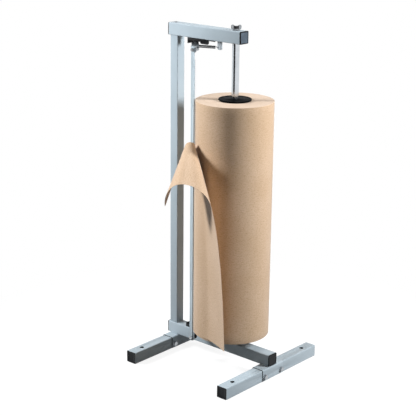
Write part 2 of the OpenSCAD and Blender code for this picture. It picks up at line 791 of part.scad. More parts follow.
sheet_cols = concat([for (i = [0 : wrap_cols]) wrap_col(i)],
    [for (k = [1 : len(fan_angles) - 1]) fan_col(fan_angles[k])]);
last_col = len(sheet_cols) - 1;
col_size = rows + top_rows + 1;
face_size = col_size * (last_col + 1);
function at(c, r, side) = side * face_size + c * col_size + r;
sheet_points = [for (side = [0, 1]) for (c = [0 : last_col]) for (r = [0 : rows + top_rows])
    let (p = sheet_cols[c][min(r, len(sheet_cols[c]) - 1)])
    p[0] + p[1] * (side - 0.5) * sheet_t];
function quad(a, b, c, d) = [[a, b, c], [a, c, d]];
function strip(cells) = [for (q = cells) for (t = quad(q[0], q[1], q[2], q[3])) t];
function wall(c0, r0, c1, r1) = [at(c0, r0, 0), at(c1, r1, 0), at(c1, r1, 1), at(c0, r0, 1)];
sheet_cells = concat(
    [for (c = [0 : last_col - 1]) for (r = [0 : (c < wrap_cols ? rows + top_rows : rows) - 1])
        [at(c, r, 1), at(c, r + 1, 1), at(c + 1, r + 1, 1), at(c + 1, r, 1)]],
    [for (c = [0 : last_col - 1]) for (r = [0 : (c < wrap_cols ? rows + top_rows : rows) - 1])
        [at(c, r, 0), at(c + 1, r, 0), at(c + 1, r + 1, 0), at(c, r + 1, 0)]],
    [for (c = [0 : last_col - 1]) wall(c + 1, 0, c, 0)],
    [for (r = [0 : rows - 1]) wall(last_col, r + 1, last_col, r)],
    [for (c = [wrap_cols : last_col - 1]) wall(c, rows, c + 1, rows)],
    [for (r = [rows : rows + top_rows - 1]) wall(wrap_cols, r + 1, wrap_cols, r)],
    [for (c = [0 : wrap_cols - 1]) wall(c, rows + top_rows, c + 1, rows + top_rows)],
    [for (r = [0 : rows + top_rows - 1]) wall(0, r, 0, r + 1)]);

module paper_sheet() {
    color("burlywood") polyhedron(points = sheet_points, faces = strip(sheet_cells));
}

module cutter_bar() {
    v1 = -blade_t / 2;
    color("lightsteelblue") across_bar(v1 - bar_t, v1) difference() {
        translate([bar_u - bar_w / 2, bar_low]) square([bar_w, bar_high - bar_low]);
        translate([bar_u, upper_bolt_z]) circle(r = m6_r + 0.1);
        translate([bar_u, lower_bolt_z]) circle(r = m6_r + 0.1);
        for (i = [0 : rivets - 1]) translate([bar_u, rivet_z(i)]) circle(r = rivet_r + 0.02);
    }
}

rivet_r = 2;
function rivet_z(i) = blade_low + 25 + (blade_high - blade_low - 50) * i / (rivets - 1);
teeth = floor((blade_high - blade_low) / tooth_pitch);
tooth_depth = 1.8;

// Serrated strip, its teeth along +u
module serrated_blade() {
    h = teeth * tooth_pitch;
    color("gainsboro") across_bar(-blade_t / 2, blade_t / 2) difference() {
        translate([0, blade_low]) polygon(concat(
            [[-blade_back - 0.8, h], [-blade_back - 0.8, 0]],
            [for (i = [0 : teeth - 1]) for (p = [[-tooth_depth, 0], [0, tooth_pitch / 2]])
                [p[0], p[1] + i * tooth_pitch]],
            [[-tooth_depth, h]]));
        for (i = [0 : rivets - 1]) translate([bar_u, rivet_z(i)]) circle(r = rivet_r + 0.02);
    }
}

module blade_rivets() {
    v0 = -blade_t / 2 - bar_t;
    color("gainsboro") at_bar() for (i = [0 : rivets - 1])
        translate([bar_u, 0, rivet_z(i)]) rotate([-90, 0, 0]) {
            translate([0, 0, v0]) cylinder(h = bar_t + blade_t, r = rivet_r);
            translate([0, 0, v0 - 0.9]) cylinder(h = 0.9, r1 = 2.4, r2 = 3.4);
            translate([0, 0, blade_t / 2]) cylinder(h = 0.9, r1 = 3.2, r2 = 2.4);
        }
}

// Flat lever with its end bent down into the plate that carries the bar
module lever(z, plate_w, bolt_z) {
    v0 = -blade_t / 2;
    difference() {
        union() {
            at_cutter() translate([0, 0, z]) linear_extrude(lever_t) difference() {
                union() {
                    circle(r = lever_w / 2);
                    translate([0, -lever_w / 2]) square([reach + lever_w, lever_w]);
                }
                translate([reach, 0]) rotate(bar_cant) {
                    translate([-3 * lever_w, v0 - 3 * lever_w])
                        square([6 * lever_w, 3 * lever_w]);
                    translate([bar_u + plate_w / 2, v0 - eps])
                        square([3 * lever_w, 3 * lever_w]);
                }
            }
            across_bar(v0, v0 + plate_t) {
                translate([bar_u - plate_w / 2, bolt_z])
                    square([plate_w, z + lever_t - bolt_z]);
                translate([bar_u, bolt_z]) circle(r = plate_w / 2);
            }
        }
        translate([pivot_x, 0, z - eps])
            cylinder(h = lever_t + 2 * eps, r = pivot_r + pivot_gap);
        at_cutter() translate([spring_arm, 0, z - eps])
            cylinder(h = lever_t + 2 * eps, r = pin_r + 0.02);
        at_bar() translate([bar_u, v0 - eps, bolt_z]) rotate([-90, 0, 0])
            cylinder(h = plate_t + 2 * eps, r = m6_r + 0.1);
    }
}

module upper_lever() {
    color("lightgray") lever(upper_lever_z, upper_plate_w, upper_bolt_z);
}

module lower_lever() {
    color("lightgray") lever(lower_lever_z, lower_plate_w, lower_bolt_z);
}

// Riveted pins that the springs hook over, with a flat head on each side
module spring_pins() {
    color("gainsboro") at_cutter() translate([spring_arm, 0, 0]) {
        translate([0, 0, upper_lever_z]) mirror([0, 0, 1]) spring_pin(upper_lever_z - upper_spring_z);
        translate([0, 0, lower_lever_z + lever_t]) spring_pin(lower_spring_z - lower_lever_z - lever_t);
    }
}

module spring_pin(h) {
    translate([0, 0, -lever_t]) cylinder(h = lever_t + h + 2, r = pin_r);
    translate([0, 0, h + 1.2]) cylinder(h = 1.4, r = pin_r + 1.4);
    translate([0, 0, -lever_t - 1]) cylinder(h = 1, r = pin_r + 1);
}

module bar_bolt(z, length) {
    at_bar() translate([bar_u, -blade_t / 2 - bar_t, z]) rotate([-90, 0, 0]) {
        cylinder(h = length, r = m6_r);
        translate([0, 0, -washer_t / 2]) cylinder(h = washer_t / 2, r = 5.8);
        translate([0, 0, -washer_t / 2 - 3.2]) hex_head(10, 3.2);
    }
}

back_v = -blade_t / 2 + plate_t;

module upper_bar_bolt() {
    color("gainsboro") bar_bolt(upper_bolt_z, bar_t + plate_t + 16);
}

module lower_bar_bolt() {
    color("dimgray") bar_bolt(lower_bolt_z, bar_t + plate_t + 12);
}

module coupling_nut() {
    color("gainsboro") at_bar() translate([bar_u, back_v, upper_bolt_z]) rotate([-90, 0, 0])
        hex_nut(10, 17, m6_r + 0.05);
}

module rubber_bumper() {
    color("black") at_bar() translate([bar_u, back_v, lower_bolt_z]) rotate([-90, 0, 0])
        difference() {
            union() {
                cylinder(h = bumper_l - 2.5, r = bumper_r);
                translate([0, 0, bumper_l - 2.5]) cylinder(h = 2.5, r1 = bumper_r, r2 = bumper_r - 1.9);
            }
            translate([0, 0, -eps]) cylinder(h = bumper_l - 1.5, r = m6_r + 0.05);
        }
}

base_beam();
post();
top_arm();
front_foot();
rear_foot();
front_saddle();
rear_saddle();
saddle_bolts();
saddle_nuts();
weld_beads();
beam_front_cap();
beam_rear_cap();
arm_front_cap();
arm_rear_cap();
front_foot_caps();
rear_foot_caps();
arm_screw();
shaft();
shaft_base_bolt();
thrust_collar();
collar_set_screw();
thrust_washer();
arm_washer();
wing_nut();
upper_bracket();
lower_bracket();
bracket_screws();
upper_pivot_bolt();
lower_pivot_bolt();
pivot_nuts();
pivot_spacers();
upper_spring_anchor();
lower_spring_anchor();
upper_spring();
lower_spring();
paper_roll();
roll_core();
top_core_plug();
bottom_core_plug();
paper_sheet();
cutter_bar();
serrated_blade();
blade_rivets();
upper_lever();
lower_lever();
spring_pins();
upper_bar_bolt();
lower_bar_bolt();
coupling_nut();
rubber_bumper();
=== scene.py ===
"""Looks of a standing paper cutter: stand, paper roll, sprung cutter and drawn-off sheet."""
import logging
import math
from dataclasses import dataclass, field
from enum import Enum
from typing import Sequence

import bmesh
import bpy
import numpy as np
from mathutils import Matrix, Vector


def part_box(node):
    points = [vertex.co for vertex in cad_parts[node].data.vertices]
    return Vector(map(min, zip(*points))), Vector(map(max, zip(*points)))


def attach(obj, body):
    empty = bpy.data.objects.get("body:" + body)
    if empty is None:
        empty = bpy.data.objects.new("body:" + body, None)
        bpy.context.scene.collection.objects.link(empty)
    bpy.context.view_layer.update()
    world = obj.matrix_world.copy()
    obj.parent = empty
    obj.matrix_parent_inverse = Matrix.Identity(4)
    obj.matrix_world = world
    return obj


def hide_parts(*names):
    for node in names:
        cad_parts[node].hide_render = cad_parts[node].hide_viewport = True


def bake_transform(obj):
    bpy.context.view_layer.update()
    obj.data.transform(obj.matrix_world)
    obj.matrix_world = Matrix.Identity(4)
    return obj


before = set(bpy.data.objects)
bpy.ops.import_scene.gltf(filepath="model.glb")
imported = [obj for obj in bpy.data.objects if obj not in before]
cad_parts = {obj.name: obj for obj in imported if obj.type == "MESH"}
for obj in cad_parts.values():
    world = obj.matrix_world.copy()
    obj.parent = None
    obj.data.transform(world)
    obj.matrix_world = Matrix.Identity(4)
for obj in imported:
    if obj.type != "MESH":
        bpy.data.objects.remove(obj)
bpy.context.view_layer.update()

MM = 0.001
FULL_TURN = 2 * math.pi
Colour = tuple[float, float, float, float]
UV = tuple[float, float]
log = logging.getLogger("paper_cutter")


class Body(Enum):
    """Bodies of the jointed frame that pieces ride on."""

    STAND = "frame"
    ROLL = "roll"
    CUTTER = "cutter"
    WING = "wing"


def tone(red: int, green: int, blue: int) -> Colour:
    """Turns a screen colour into linear light.

    Args:
        red: the red part, 0 to 255.
        green: the green part, 0 to 255.
        blue: the blue part, 0 to 255.

    Returns:
        Linear red, green, blue and an alpha of one.
    """
    def linear(part: int) -> float:
        """Linear value of one part."""
        c = part / 255
        return c / 12.92 if c <= 0.04045 else ((c + 0.055) / 1.055) ** 2.4

    return (linear(red), linear(green), linear(blue), 1.0)


def shaded(colour: Colour, factor: float, lift: float = 0.0) -> Colour:
    """Makes a colour darker or paler.

    Args:
        colour: the colour to start from.
        factor: what each part is multiplied by.
        lift: what is then added to each part.

    Returns:
        The new colour, with no part above one.
    """
    red, green, blue = (min(1.0, c * factor + lift) for c in colour[:3])
    return (red, green, blue, 1.0)


# --------------------------------------------------------------------------- finishes


class NodeBench:
    """A node tree under construction: adds nodes and joins them."""

    PREFIX = "ShaderNode"

    def __init__(self, tree: bpy.types.NodeTree) -> None:
        """Keeps the tree."""
        self.nodes, self.links = tree.nodes, tree.links

    def add(self, kind: str, **values: object) -> bpy.types.Node:
        """Adds a node.

        Args:
            kind: the node's type, without the prefix of its kind of tree.
            **values: attributes of the node, or input values under the name in_SOCKET.

        Returns:
            The new node.
        """
        node = self.nodes.new(self.PREFIX + kind)
        for key, value in values.items():
            if key.startswith("in_"):
                node.inputs[key[3:].replace("_", " ")].default_value = value
            else:
                setattr(node, key, value)
        return node

    def join(self, source: bpy.types.NodeSocket, target: bpy.types.NodeSocket) -> None:
        """Links one socket to another."""
        self.links.new(source, target)


class StageBench(NodeBench):
    """The shader tree of a surface or sky that looks different to different rays."""

    def mix(self, share: bpy.types.NodeSocket, first: bpy.types.NodeSocket,
            second: bpy.types.NodeSocket) -> bpy.types.NodeSocket:
        """Mixes two shaders.

        Args:
            share: the second shader's share, 0 to 1.
            first: the shader at 0.
            second: the shader at 1.

        Returns:
            The shader socket.
        """
        node = self.add("MixShader")
        for index, source in enumerate((share, first, second)):
            self.join(source, node.inputs[index])
        return node.outputs[0]

    def seen(self) -> bpy.types.NodeSocket:
        """Tells rays that show a surface: from the camera, from gloss and through clear things.

        Returns:
            A socket of one for such rays and of zero for the rest.
        """
        path = self.add("LightPath")
        total = path.outputs["Is Camera Ray"]
        for name in ("Is Glossy Ray", "Is Transmission Ray"):
            most = self.add("Math", operation="MAXIMUM")
            self.join(total, most.inputs[0])
            self.join(path.outputs[name], most.inputs[1])
            total = most.outputs[0]
        return total


class ShaderBench(NodeBench):
    """One material under construction, round its Principled shader."""

    # A Mix node has sockets for every data type: these are its factor and its two colours.
    COLOUR_MIX_INPUTS = (0, 6, 7)
    COLOUR_MIX_OUTPUT = 2

    def __init__(self, name: str) -> None:
        """Starts a material.

        Args:
            name: the material's name.
        """
        self.material = bpy.data.materials.new(name)
        self.material.use_nodes = True
        super().__init__(self.material.node_tree)
        self.shader = next(n for n in self.nodes if n.type == "BSDF_PRINCIPLED")
        self._object: bpy.types.NodeSocket | None = None

    def place(self, scale: Sequence[float] = (1, 1, 1),
              centre: Sequence[float] = (0, 0, 0)) -> bpy.types.NodeSocket:
        """Gives object coordinates, moved to a centre and stretched.

        Args:
            scale: how many pattern units there are to a metre, along each axis.
            centre: the point that becomes the pattern's origin.

        Returns:
            The vector socket.
        """
        if self._object is None:
            self._object = self.add("TexCoord").outputs["Object"]
        mapping = self.add("Mapping", vector_type="POINT")
        mapping.inputs["Location"].default_value = [-c * s for c, s in zip(centre, scale)]
        mapping.inputs["Scale"].default_value = scale
        self.join(self._object, mapping.inputs["Vector"])
        return mapping.outputs["Vector"]

    def noise(self, vector: bpy.types.NodeSocket, scale: float, detail: float = 3,
              rough: float = 0.5) -> bpy.types.NodeSocket:
        """Adds a noise field.

        Args:
            vector: where the field is looked up.
            scale: cells to a unit of the vector.
            detail: octaves of finer noise.
            rough: strength of each octave beside the one before.

        Returns:
            The value socket.
        """
        node = self.add("TexNoise", in_Scale=scale, in_Detail=detail, in_Roughness=rough)
        self.join(vector, node.inputs["Vector"])
        return node.outputs["Fac"]

    def ramp(self, value: bpy.types.NodeSocket,
             stops: Sequence[tuple[float, Sequence[float]]]) -> bpy.types.NodeSocket:
        """Maps a value to colours.

        Args:
            value: the value socket.
            stops: a position from 0 to 1 and its colour, in order.

        Returns:
            The colour socket.
        """
        node = self.add("ValToRGB")
        elements = node.color_ramp.elements
        while len(elements) < len(stops):
            elements.new(0.5)
        for element, (position, colour) in zip(elements, stops):
            element.position = position
            element.color = colour
        self.join(value, node.inputs["Fac"])
        return node.outputs["Color"]

    def span(self, value: bpy.types.NodeSocket, low: float, high: float,
             from_low: float = 0.3, from_high: float = 0.7) -> bpy.types.NodeSocket:
        """Maps a value's middle range onto another range.

        Args:
            value: the value socket.
            low: the result at from_low.
            high: the result at from_high.
            from_low: the value where the range starts.
            from_high: the value where it ends.

        Returns:
            The result socket.
        """
        node = self.add("MapRange", in_From_Min=from_low, in_From_Max=from_high,
                        in_To_Min=low, in_To_Max=high)
        self.join(value, node.inputs["Value"])
        return node.outputs["Result"]

    def tint(self, base: bpy.types.NodeSocket, over: Colour,
             share: bpy.types.NodeSocket) -> bpy.types.NodeSocket:
        """Lays one colour over another.

        Args:
            base: the colour socket below.
            over: the colour that is laid over it.
            share: how much of it covers, 0 to 1.

        Returns:
            The colour socket.
        """
        node = self.add("Mix", data_type="RGBA", blend_type="MIX")
        factor, below, above = (node.inputs[index] for index in self.COLOUR_MIX_INPUTS)
        self.join(base, below)
        above.default_value = over
        self.join(share, factor)
        return node.outputs[self.COLOUR_MIX_OUTPUT]

    def dent(self, height: bpy.types.NodeSocket, depth: float, strength: float = 1.0,
             under: bpy.types.NodeSocket | None = None) -> bpy.types.NodeSocket:
        """Adds a bump.

        Args:
            height: the height socket, 0 to 1.
            depth: what a height of one is, in metres.
            strength: how much of the bump shows.
            under: the normal of a bump below this one.

        Returns:
            The normal socket.
        """
        node = self.add("Bump", in_Strength=strength, in_Distance=depth)
        self.join(height, node.inputs["Height"])
        if under is not None:
            self.join(under, node.inputs["Normal"])
        return node.outputs["Normal"]

    def set(self, **values: object) -> None:
        """Sets the shader's own sockets."""
        for key, value in values.items():
            self.shader.inputs[key.replace("_", " ")].default_value = value

    def feed(self, **sockets: bpy.types.NodeSocket) -> None:
        """Links sockets to the shader's inputs."""
        for key, socket in sockets.items():
            self.join(socket, self.shader.inputs[key.replace("_", " ")])


@dataclass(frozen=True)
class PaintFinish:
    """Satin paint over steel, with a faint orange peel and small tone drift."""

    name: str
    colour: Colour
    roughness: float = 0.36
    metallic: float = 0.0
    peel: float = 0.06 * MM
    drift: float = 0.06
    cloud_scale: float = 9
    peel_scale: float = 620

    def build(self) -> bpy.types.Material:
        """Makes the material.

        Returns:
            The material.
        """
        bench = ShaderBench(self.name)
        broad = bench.noise(bench.place(), self.cloud_scale, 4)
        fine = bench.noise(bench.place(), self.peel_scale, 2)
        dark, light = shaded(self.colour, 1 - self.drift), shaded(self.colour, 1 + self.drift)
        bench.feed(Base_Color=bench.ramp(broad, [(0.3, dark), (0.7, light)]))
        bench.feed(Roughness=bench.span(broad, self.roughness + 0.05, self.roughness - 0.04))
        bench.feed(Normal=bench.dent(fine, self.peel, 0.6))
        bench.set(Metallic=self.metallic, Specular_IOR_Level=0.5)
        return bench.material


@dataclass(frozen=True)
class PlasticFinish:
    """Moulded plastic or rubber with a fine spark-eroded grain."""

    name: str
    colour: Colour
    roughness: float = 0.42
    grain: float = 0.05 * MM
    ior: float = 1.45
    grain_scale: float = 1400
    cloud_scale: float = 30

    def build(self) -> bpy.types.Material:
        """Makes the material.

        Returns:
            The material.
        """
        bench = ShaderBench(self.name)
        grain = bench.noise(bench.place(), self.grain_scale, 3)
        cloud = bench.noise(bench.place(), self.cloud_scale, 3)
        pale = shaded(self.colour, 1.5, 0.004)
        bench.feed(Base_Color=bench.ramp(cloud, [(0.35, self.colour), (0.75, pale)]))
        bench.feed(Roughness=bench.span(cloud, self.roughness - 0.05, self.roughness + 0.08))
        bench.feed(Normal=bench.dent(grain, self.grain, 0.7))
        bench.set(IOR=self.ior)
        return bench.material


class Grain(Enum):
    """Direction of the fine lines on a metal, as lines to a metre along each axis."""

    ALONG = (900.0, 900.0, 9.0)
    ACROSS = (60.0, 60.0, 2600.0)
    NONE = (420.0, 420.0, 420.0)


@dataclass(frozen=True)
class MetalFinish:
    """Bare or plated steel with fine drawn or ground lines and slight clouding."""

    name: str
    colour: Colour
    roughness: float = 0.3
    grain: Grain = Grain.NONE
    depth: float = 0.02 * MM
    cloud: float = 0.12
    cloud_scale: float = 45

    def build(self) -> bpy.types.Material:
        """Makes the material.

        Returns:
            The material.
        """
        bench = ShaderBench(self.name)
        lines = bench.noise(bench.place(self.grain.value), 1.0, 3, 0.6)
        cloud = bench.noise(bench.place(), self.cloud_scale, 4)
        dark = shaded(self.colour, 1 - self.cloud)
        bench.feed(Base_Color=bench.ramp(cloud, [(0.3, dark), (0.65, self.colour)]))
        bench.feed(Roughness=bench.span(lines, self.roughness - 0.06, self.roughness + 0.1))
        bench.feed(Normal=bench.dent(lines, self.depth, 0.5))
        bench.set(Metallic=1.0)
        return bench.material


@dataclass(frozen=True)
class KraftFinish:
    """Brown wrapping paper: long fibres round the roll, fine ribs, flecks and cloud."""

    name: str = "kraft_paper"
    pale: Colour = tone(207, 181, 155)
    deep: Colour = tone(195, 167, 137)
    fibre_tint: Colour = tone(152, 116, 72)
    mottle_tint: Colour = tone(144, 108, 64)
    fleck_tint: Colour = tone(240, 214, 190)
    roughness: float = 0.5
    fibre_depth: float = 0.06 * MM
    rib_depth: float = 0.03 * MM

    def build(self) -> bpy.types.Material:
        """Makes the material from the piece's paper map, in metres along and up.

        Returns:
            The material.
        """
        bench = ShaderBench(self.name)
        uv = bench.add("UVMap", uv_map="paper").outputs["UV"]

        def laid(along: float, up: float) -> bpy.types.NodeSocket:
            """Stretches the paper map.

            Args:
                along: pattern units to a metre along the paper.
                up: pattern units to a metre up it.

            Returns:
                The vector socket.
            """
            mapping = bench.add("Mapping")
            mapping.inputs["Scale"].default_value = (along, up, 1)
            bench.join(uv, mapping.inputs["Vector"])
            return mapping.outputs["Vector"]

        cloud = bench.noise(laid(1, 1), 7, 4)
        fibre = bench.noise(laid(60, 700), 1.0, 5, 0.65)
        rib = bench.noise(laid(6, 2200), 1.0, 2)
        fleck = bench.noise(laid(900, 1500), 1.0, 2, 0.7)
        base = bench.ramp(cloud, [(0.3, self.deep), (0.7, self.pale)])
        mottle = bench.noise(laid(230, 260), 1.0, 3, 0.75)
        base = bench.tint(base, self.fibre_tint, bench.span(fibre, 0.0, 0.46, 0.45, 0.75))
        base = bench.tint(base, self.mottle_tint, bench.span(mottle, 0.0, 0.62, 0.5, 0.72))
        base = bench.tint(base, self.fleck_tint, bench.span(fleck, 0.0, 0.6, 0.58, 0.76))
        bench.feed(Base_Color=base)
        bench.feed(Roughness=bench.span(cloud, self.roughness - 0.04, self.roughness + 0.06))
        below = bench.dent(fibre, self.fibre_depth, 0.5)
        bench.feed(Normal=bench.dent(rib, self.rib_depth, 0.35, below))
        bench.set(Specular_IOR_Level=0.12, Sheen_Weight=0.3, Sheen_Roughness=0.5,
                  Sheen_Tint=(0.9, 0.92, 1.0, 1.0))
        return bench.material


@dataclass(frozen=True)
class LayerFinish:
    """Cut edge of a wound roll: thousands of thin layers, seen as fine rings."""

    centre: tuple[float, float]
    name: str = "kraft_edge"
    layer_scale: float = 2600
    band_scale: float = 240
    layer_depth: float = 0.12 * MM

    def build(self) -> bpy.types.Material:
        """Makes the material from the distance to the roll's axis.

        Returns:
            The material.
        """
        bench = ShaderBench(self.name)
        spot = bench.place(centre=(*self.centre, 0))
        flat = bench.add("VectorMath", operation="MULTIPLY")
        flat.inputs[1].default_value = (1, 1, 0)
        bench.join(spot, flat.inputs[0])
        length = bench.add("VectorMath", operation="LENGTH")
        bench.join(flat.outputs["Vector"], length.inputs[0])
        ring = bench.add("CombineXYZ")
        bench.join(length.outputs["Value"], ring.inputs["X"])
        fine = bench.noise(ring.outputs["Vector"], self.layer_scale, 2, 0.7)
        broad = bench.noise(ring.outputs["Vector"], self.band_scale, 3, 0.6)
        cloud = bench.noise(spot, 26, 3)
        base = bench.ramp(fine, [(0.25, tone(188, 163, 140)), (0.75, tone(220, 201, 183))])
        base = bench.tint(base, tone(168, 140, 112), bench.span(broad, 0.0, 0.4, 0.45, 0.8))
        base = bench.tint(base, tone(228, 210, 194), bench.span(cloud, 0.0, 0.25))
        bench.feed(Base_Color=base)
        bench.feed(Normal=bench.dent(fine, self.layer_depth, 0.6))
        bench.set(Roughness=0.78, Specular_IOR_Level=0.25)
        return bench.material


@dataclass(frozen=True)
class BoardFinish:
    """Spiral-wound grey-brown board of the core tube."""

    name: str = "core_board"
    fibre_scale: tuple[float, float, float] = (200, 200, 900)
    fibre_depth: float = 0.08 * MM

    def build(self) -> bpy.types.Material:
        """Makes the material.

        Returns:
            The material.
        """
        bench = ShaderBench(self.name)
        fibre = bench.noise(bench.place(self.fibre_scale), 1.0, 4, 0.6)
        base = bench.ramp(fibre, [(0.3, tone(140, 112, 84)), (0.7, tone(178, 148, 116))])
        bench.feed(Base_Color=base, Normal=bench.dent(fibre, self.fibre_depth, 0.6))
        bench.set(Roughness=0.82)
        return bench.material


class FinishRack:
    """All finishes of the cutter, each built once; their names are the record's slots."""

    def __init__(self, roll_axis: tuple[float, float]) -> None:
        """Builds the materials.

        Args:
            roll_axis: the shaft's x and y.
        """
        steel = tone(206, 209, 212)
        finishes = (
            PaintFinish("frame_paint", tone(168, 181, 189), 0.42),
            PaintFinish("bar_paint", tone(186, 201, 209), 0.42),
            PaintFinish("lever_steel", tone(170, 178, 184), 0.34, metallic=0.3),
            PaintFinish("black_steel", tone(26, 27, 29), 0.34, peel=0.03 * MM),
            PlasticFinish("cap_plastic", tone(23, 25, 27), 0.42, ior=1.24),
            # The next finish is a painted reflection: paler plastic for the arm cap's face.
            PlasticFinish("cap_panel", tone(70, 80, 90), 0.5, grain=0.06 * MM, ior=1.3),
            PlasticFinish("plug_plastic", tone(12, 13, 14), 0.24, grain=0.01 * MM,
                          ior=1.025),
            PlasticFinish("bumper_rubber", tone(18, 18, 19), 0.6, grain=0.08 * MM,
                          ior=1.3),
            MetalFinish("zinc_hardware", tone(178, 182, 186), 0.3),
            MetalFinish("shaft_steel", tone(214, 219, 224), 0.16, Grain.ALONG),
            MetalFinish("plain_steel", steel, 0.38, Grain.ACROSS),
            MetalFinish("spring_steel", tone(84, 87, 91), 0.3),
            MetalFinish("blade_steel", steel, 0.3, Grain.ALONG),
            KraftFinish(),
            LayerFinish(roll_axis),
            BoardFinish(),
        )
        self.materials = {finish.name: finish.build() for finish in finishes}

    def __getitem__(self, slot: str) -> bpy.types.Material:
        """The material of a slot."""
        return self.materials[slot]


# --------------------------------------------------------------------------- mesh tools


def box_of(node: str) -> tuple[Vector, Vector]:
    """Lowest and highest corner of a CAD node at rest."""
    low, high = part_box(node)
    return Vector(low), Vector(high)


def middle_of(node: str) -> Vector:
    """Middle of a CAD node's box."""
    low, high = box_of(node)
    return (low + high) / 2


def finish_mesh(mesh: bpy.types.Mesh, angle: float) -> bpy.types.Mesh:
    """Smooths a mesh's shading and keeps its sharp edges.

    Args:
        mesh: the mesh, which is changed.
        angle: edges sharper than this stay sharp, in degrees.

    Returns:
        The same mesh.
    """
    mesh.update()
    mesh.shade_smooth()
    mesh.set_sharp_from_angle(angle=math.radians(angle))
    return mesh


def new_piece(name: str, mesh: bpy.types.Mesh, material: bpy.types.Material) -> bpy.types.Object:
    """Links a mesh as an object at the origin, with one material.

    Args:
        name: the piece's name.
        mesh: its mesh, with its place in its points.
        material: the finish for every face.

    Returns:
        The new object.
    """
    mesh.materials.clear()
    mesh.materials.append(material)
    obj = bpy.data.objects.new(name, mesh)
    bpy.context.scene.collection.objects.link(obj)
    return obj


def mesh_from(name: str, work: bmesh.types.BMesh, turn_out: bool = True) -> bpy.types.Mesh:
    """Turns bmesh work into a mesh.

    Args:
        name: the mesh's name.
        work: the finished bmesh, which is freed.
        turn_out: whether to turn the faces outward.

    Returns:
        The new mesh.
    """
    if turn_out:
        bmesh.ops.recalc_face_normals(work, faces=work.faces)
    mesh = bpy.data.meshes.new(name)
    work.to_mesh(mesh)
    work.free()
    return mesh


ON_AXIS = 1e-7


def lathe(work: bmesh.types.BMesh, profile: Sequence[tuple[float, float]],
          place: Matrix, steps: int) -> None:
    """Turns a closed or axis-to-axis outline round the local z axis.

    Args:
        work: the bmesh to add to.
        profile: (radius, height) points in order; radius 0 points become poles.
        place: from the local frame to the row frame.
        steps: points round.
    """
    rings: list[list[bmesh.types.BMVert]] = []
    for radius, height in profile:
        if radius < ON_AXIS:
            rings.append([work.verts.new(place @ Vector((0, 0, height)))])
            continue
        rings.append([work.verts.new(place @ Vector((
            radius * math.cos(FULL_TURN * k / steps), radius * math.sin(FULL_TURN * k / steps),
            height))) for k in range(steps)])
    closed = profile[0][0] > ON_AXIS and profile[-1][0] > ON_AXIS
    pairs = list(zip(rings, rings[1:])) + ([(rings[-1], rings[0])] if closed else [])
    for lower, upper in pairs:
        for k in range(steps):
            after = (k + 1) % steps
            if len(lower) == 1 and len(upper) == 1:
                break
            if len(lower) == 1:
                work.faces.new((lower[0], upper[after], upper[k]))
            elif len(upper) == 1:
                work.faces.new((lower[k], lower[after], upper[0]))
            else:
                work.faces.new((lower[k], lower[after], upper[after], upper[k]))


def ring_stack(work: bmesh.types.BMesh, rings: Sequence[Sequence[Vector]]) -> None:
    """Skins a stack of equal outlines and closes both ends with fans.

    Args:
        work: the bmesh to add to.
        rings: the outlines in order, each with as many points as the others.
    """
    verts = [[work.verts.new(p) for p in ring] for ring in rings]
    count = len(verts[0])
    for lower, upper in zip(verts, verts[1:]):
        for k in range(count):
            after = (k + 1) % count
            work.faces.new((lower[k], lower[after], upper[after], upper[k]))
    for ring in (verts[0], verts[-1]):
        pole = work.verts.new(sum((v.co for v in ring), Vector()) / count)
        for k in range(count):
            work.faces.new((ring[k], ring[(k + 1) % count], pole))


CORNER_STEPS = 6


def rounded_outline(half: float, corner: float) -> list[Vector]:
    """Outline of a square with round corners, in its own plane.

    Args:
        half: half the square's side.
        corner: corner radius.

    Returns:
        Points anticlockwise, at z 0.
    """
    points = []
    for quarter in range(4):
        turn = quarter * math.pi / 2
        cx, cy = ((half - corner) * s for s in ((1, 1), (-1, 1), (-1, -1), (1, -1))[quarter])
        for k in range(CORNER_STEPS + 1):
            a = turn + math.pi / 2 * k / CORNER_STEPS
            points.append(Vector((cx + corner * math.cos(a), cy + corner * math.sin(a), 0)))
    return points


def facing(normal: Vector, origin: Vector) -> Matrix:
    """Makes a frame whose z axis is a normal.

    Args:
        normal: direction of the frame's z axis.
        origin: the frame's origin.

    Returns:
        From the new frame to the row frame.
    """
    turn = normal.to_track_quat("Z", "Y").to_matrix().to_4x4()
    return Matrix.Translation(origin) @ turn


MERGE_GAP = 0.002 * MM
FLAT_ANGLE = math.radians(0.6)
SHARP_ANGLE = math.radians(50)
EDGE_FACES = 2
SOFT_ANGLE = 30


def softened(node: str, width: float) -> bpy.types.Mesh:
    """Copies a CAD node's mesh, merges it and rolls its sharp edges over.

    Args:
        node: the node's name.
        width: width of the rolled edge, in metres.

    Returns:
        A new mesh.
    """
    work = bmesh.new()
    work.from_mesh(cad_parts[node].data)
    bmesh.ops.remove_doubles(work, verts=work.verts, dist=MERGE_GAP)
    bmesh.ops.dissolve_limit(work, angle_limit=FLAT_ANGLE, verts=work.verts, edges=work.edges)
    sharp = [e for e in work.edges
             if len(e.link_faces) == 2 and e.calc_face_angle(0) > SHARP_ANGLE]
    bmesh.ops.bevel(work, geom=sharp, offset=width, offset_type="OFFSET", segments=EDGE_FACES,
                    profile=0.5, affect="EDGES", clamp_overlap=True)
    mesh = mesh_from(node + "_soft", work, turn_out=False)
    return finish_mesh(mesh, SOFT_ANGLE)


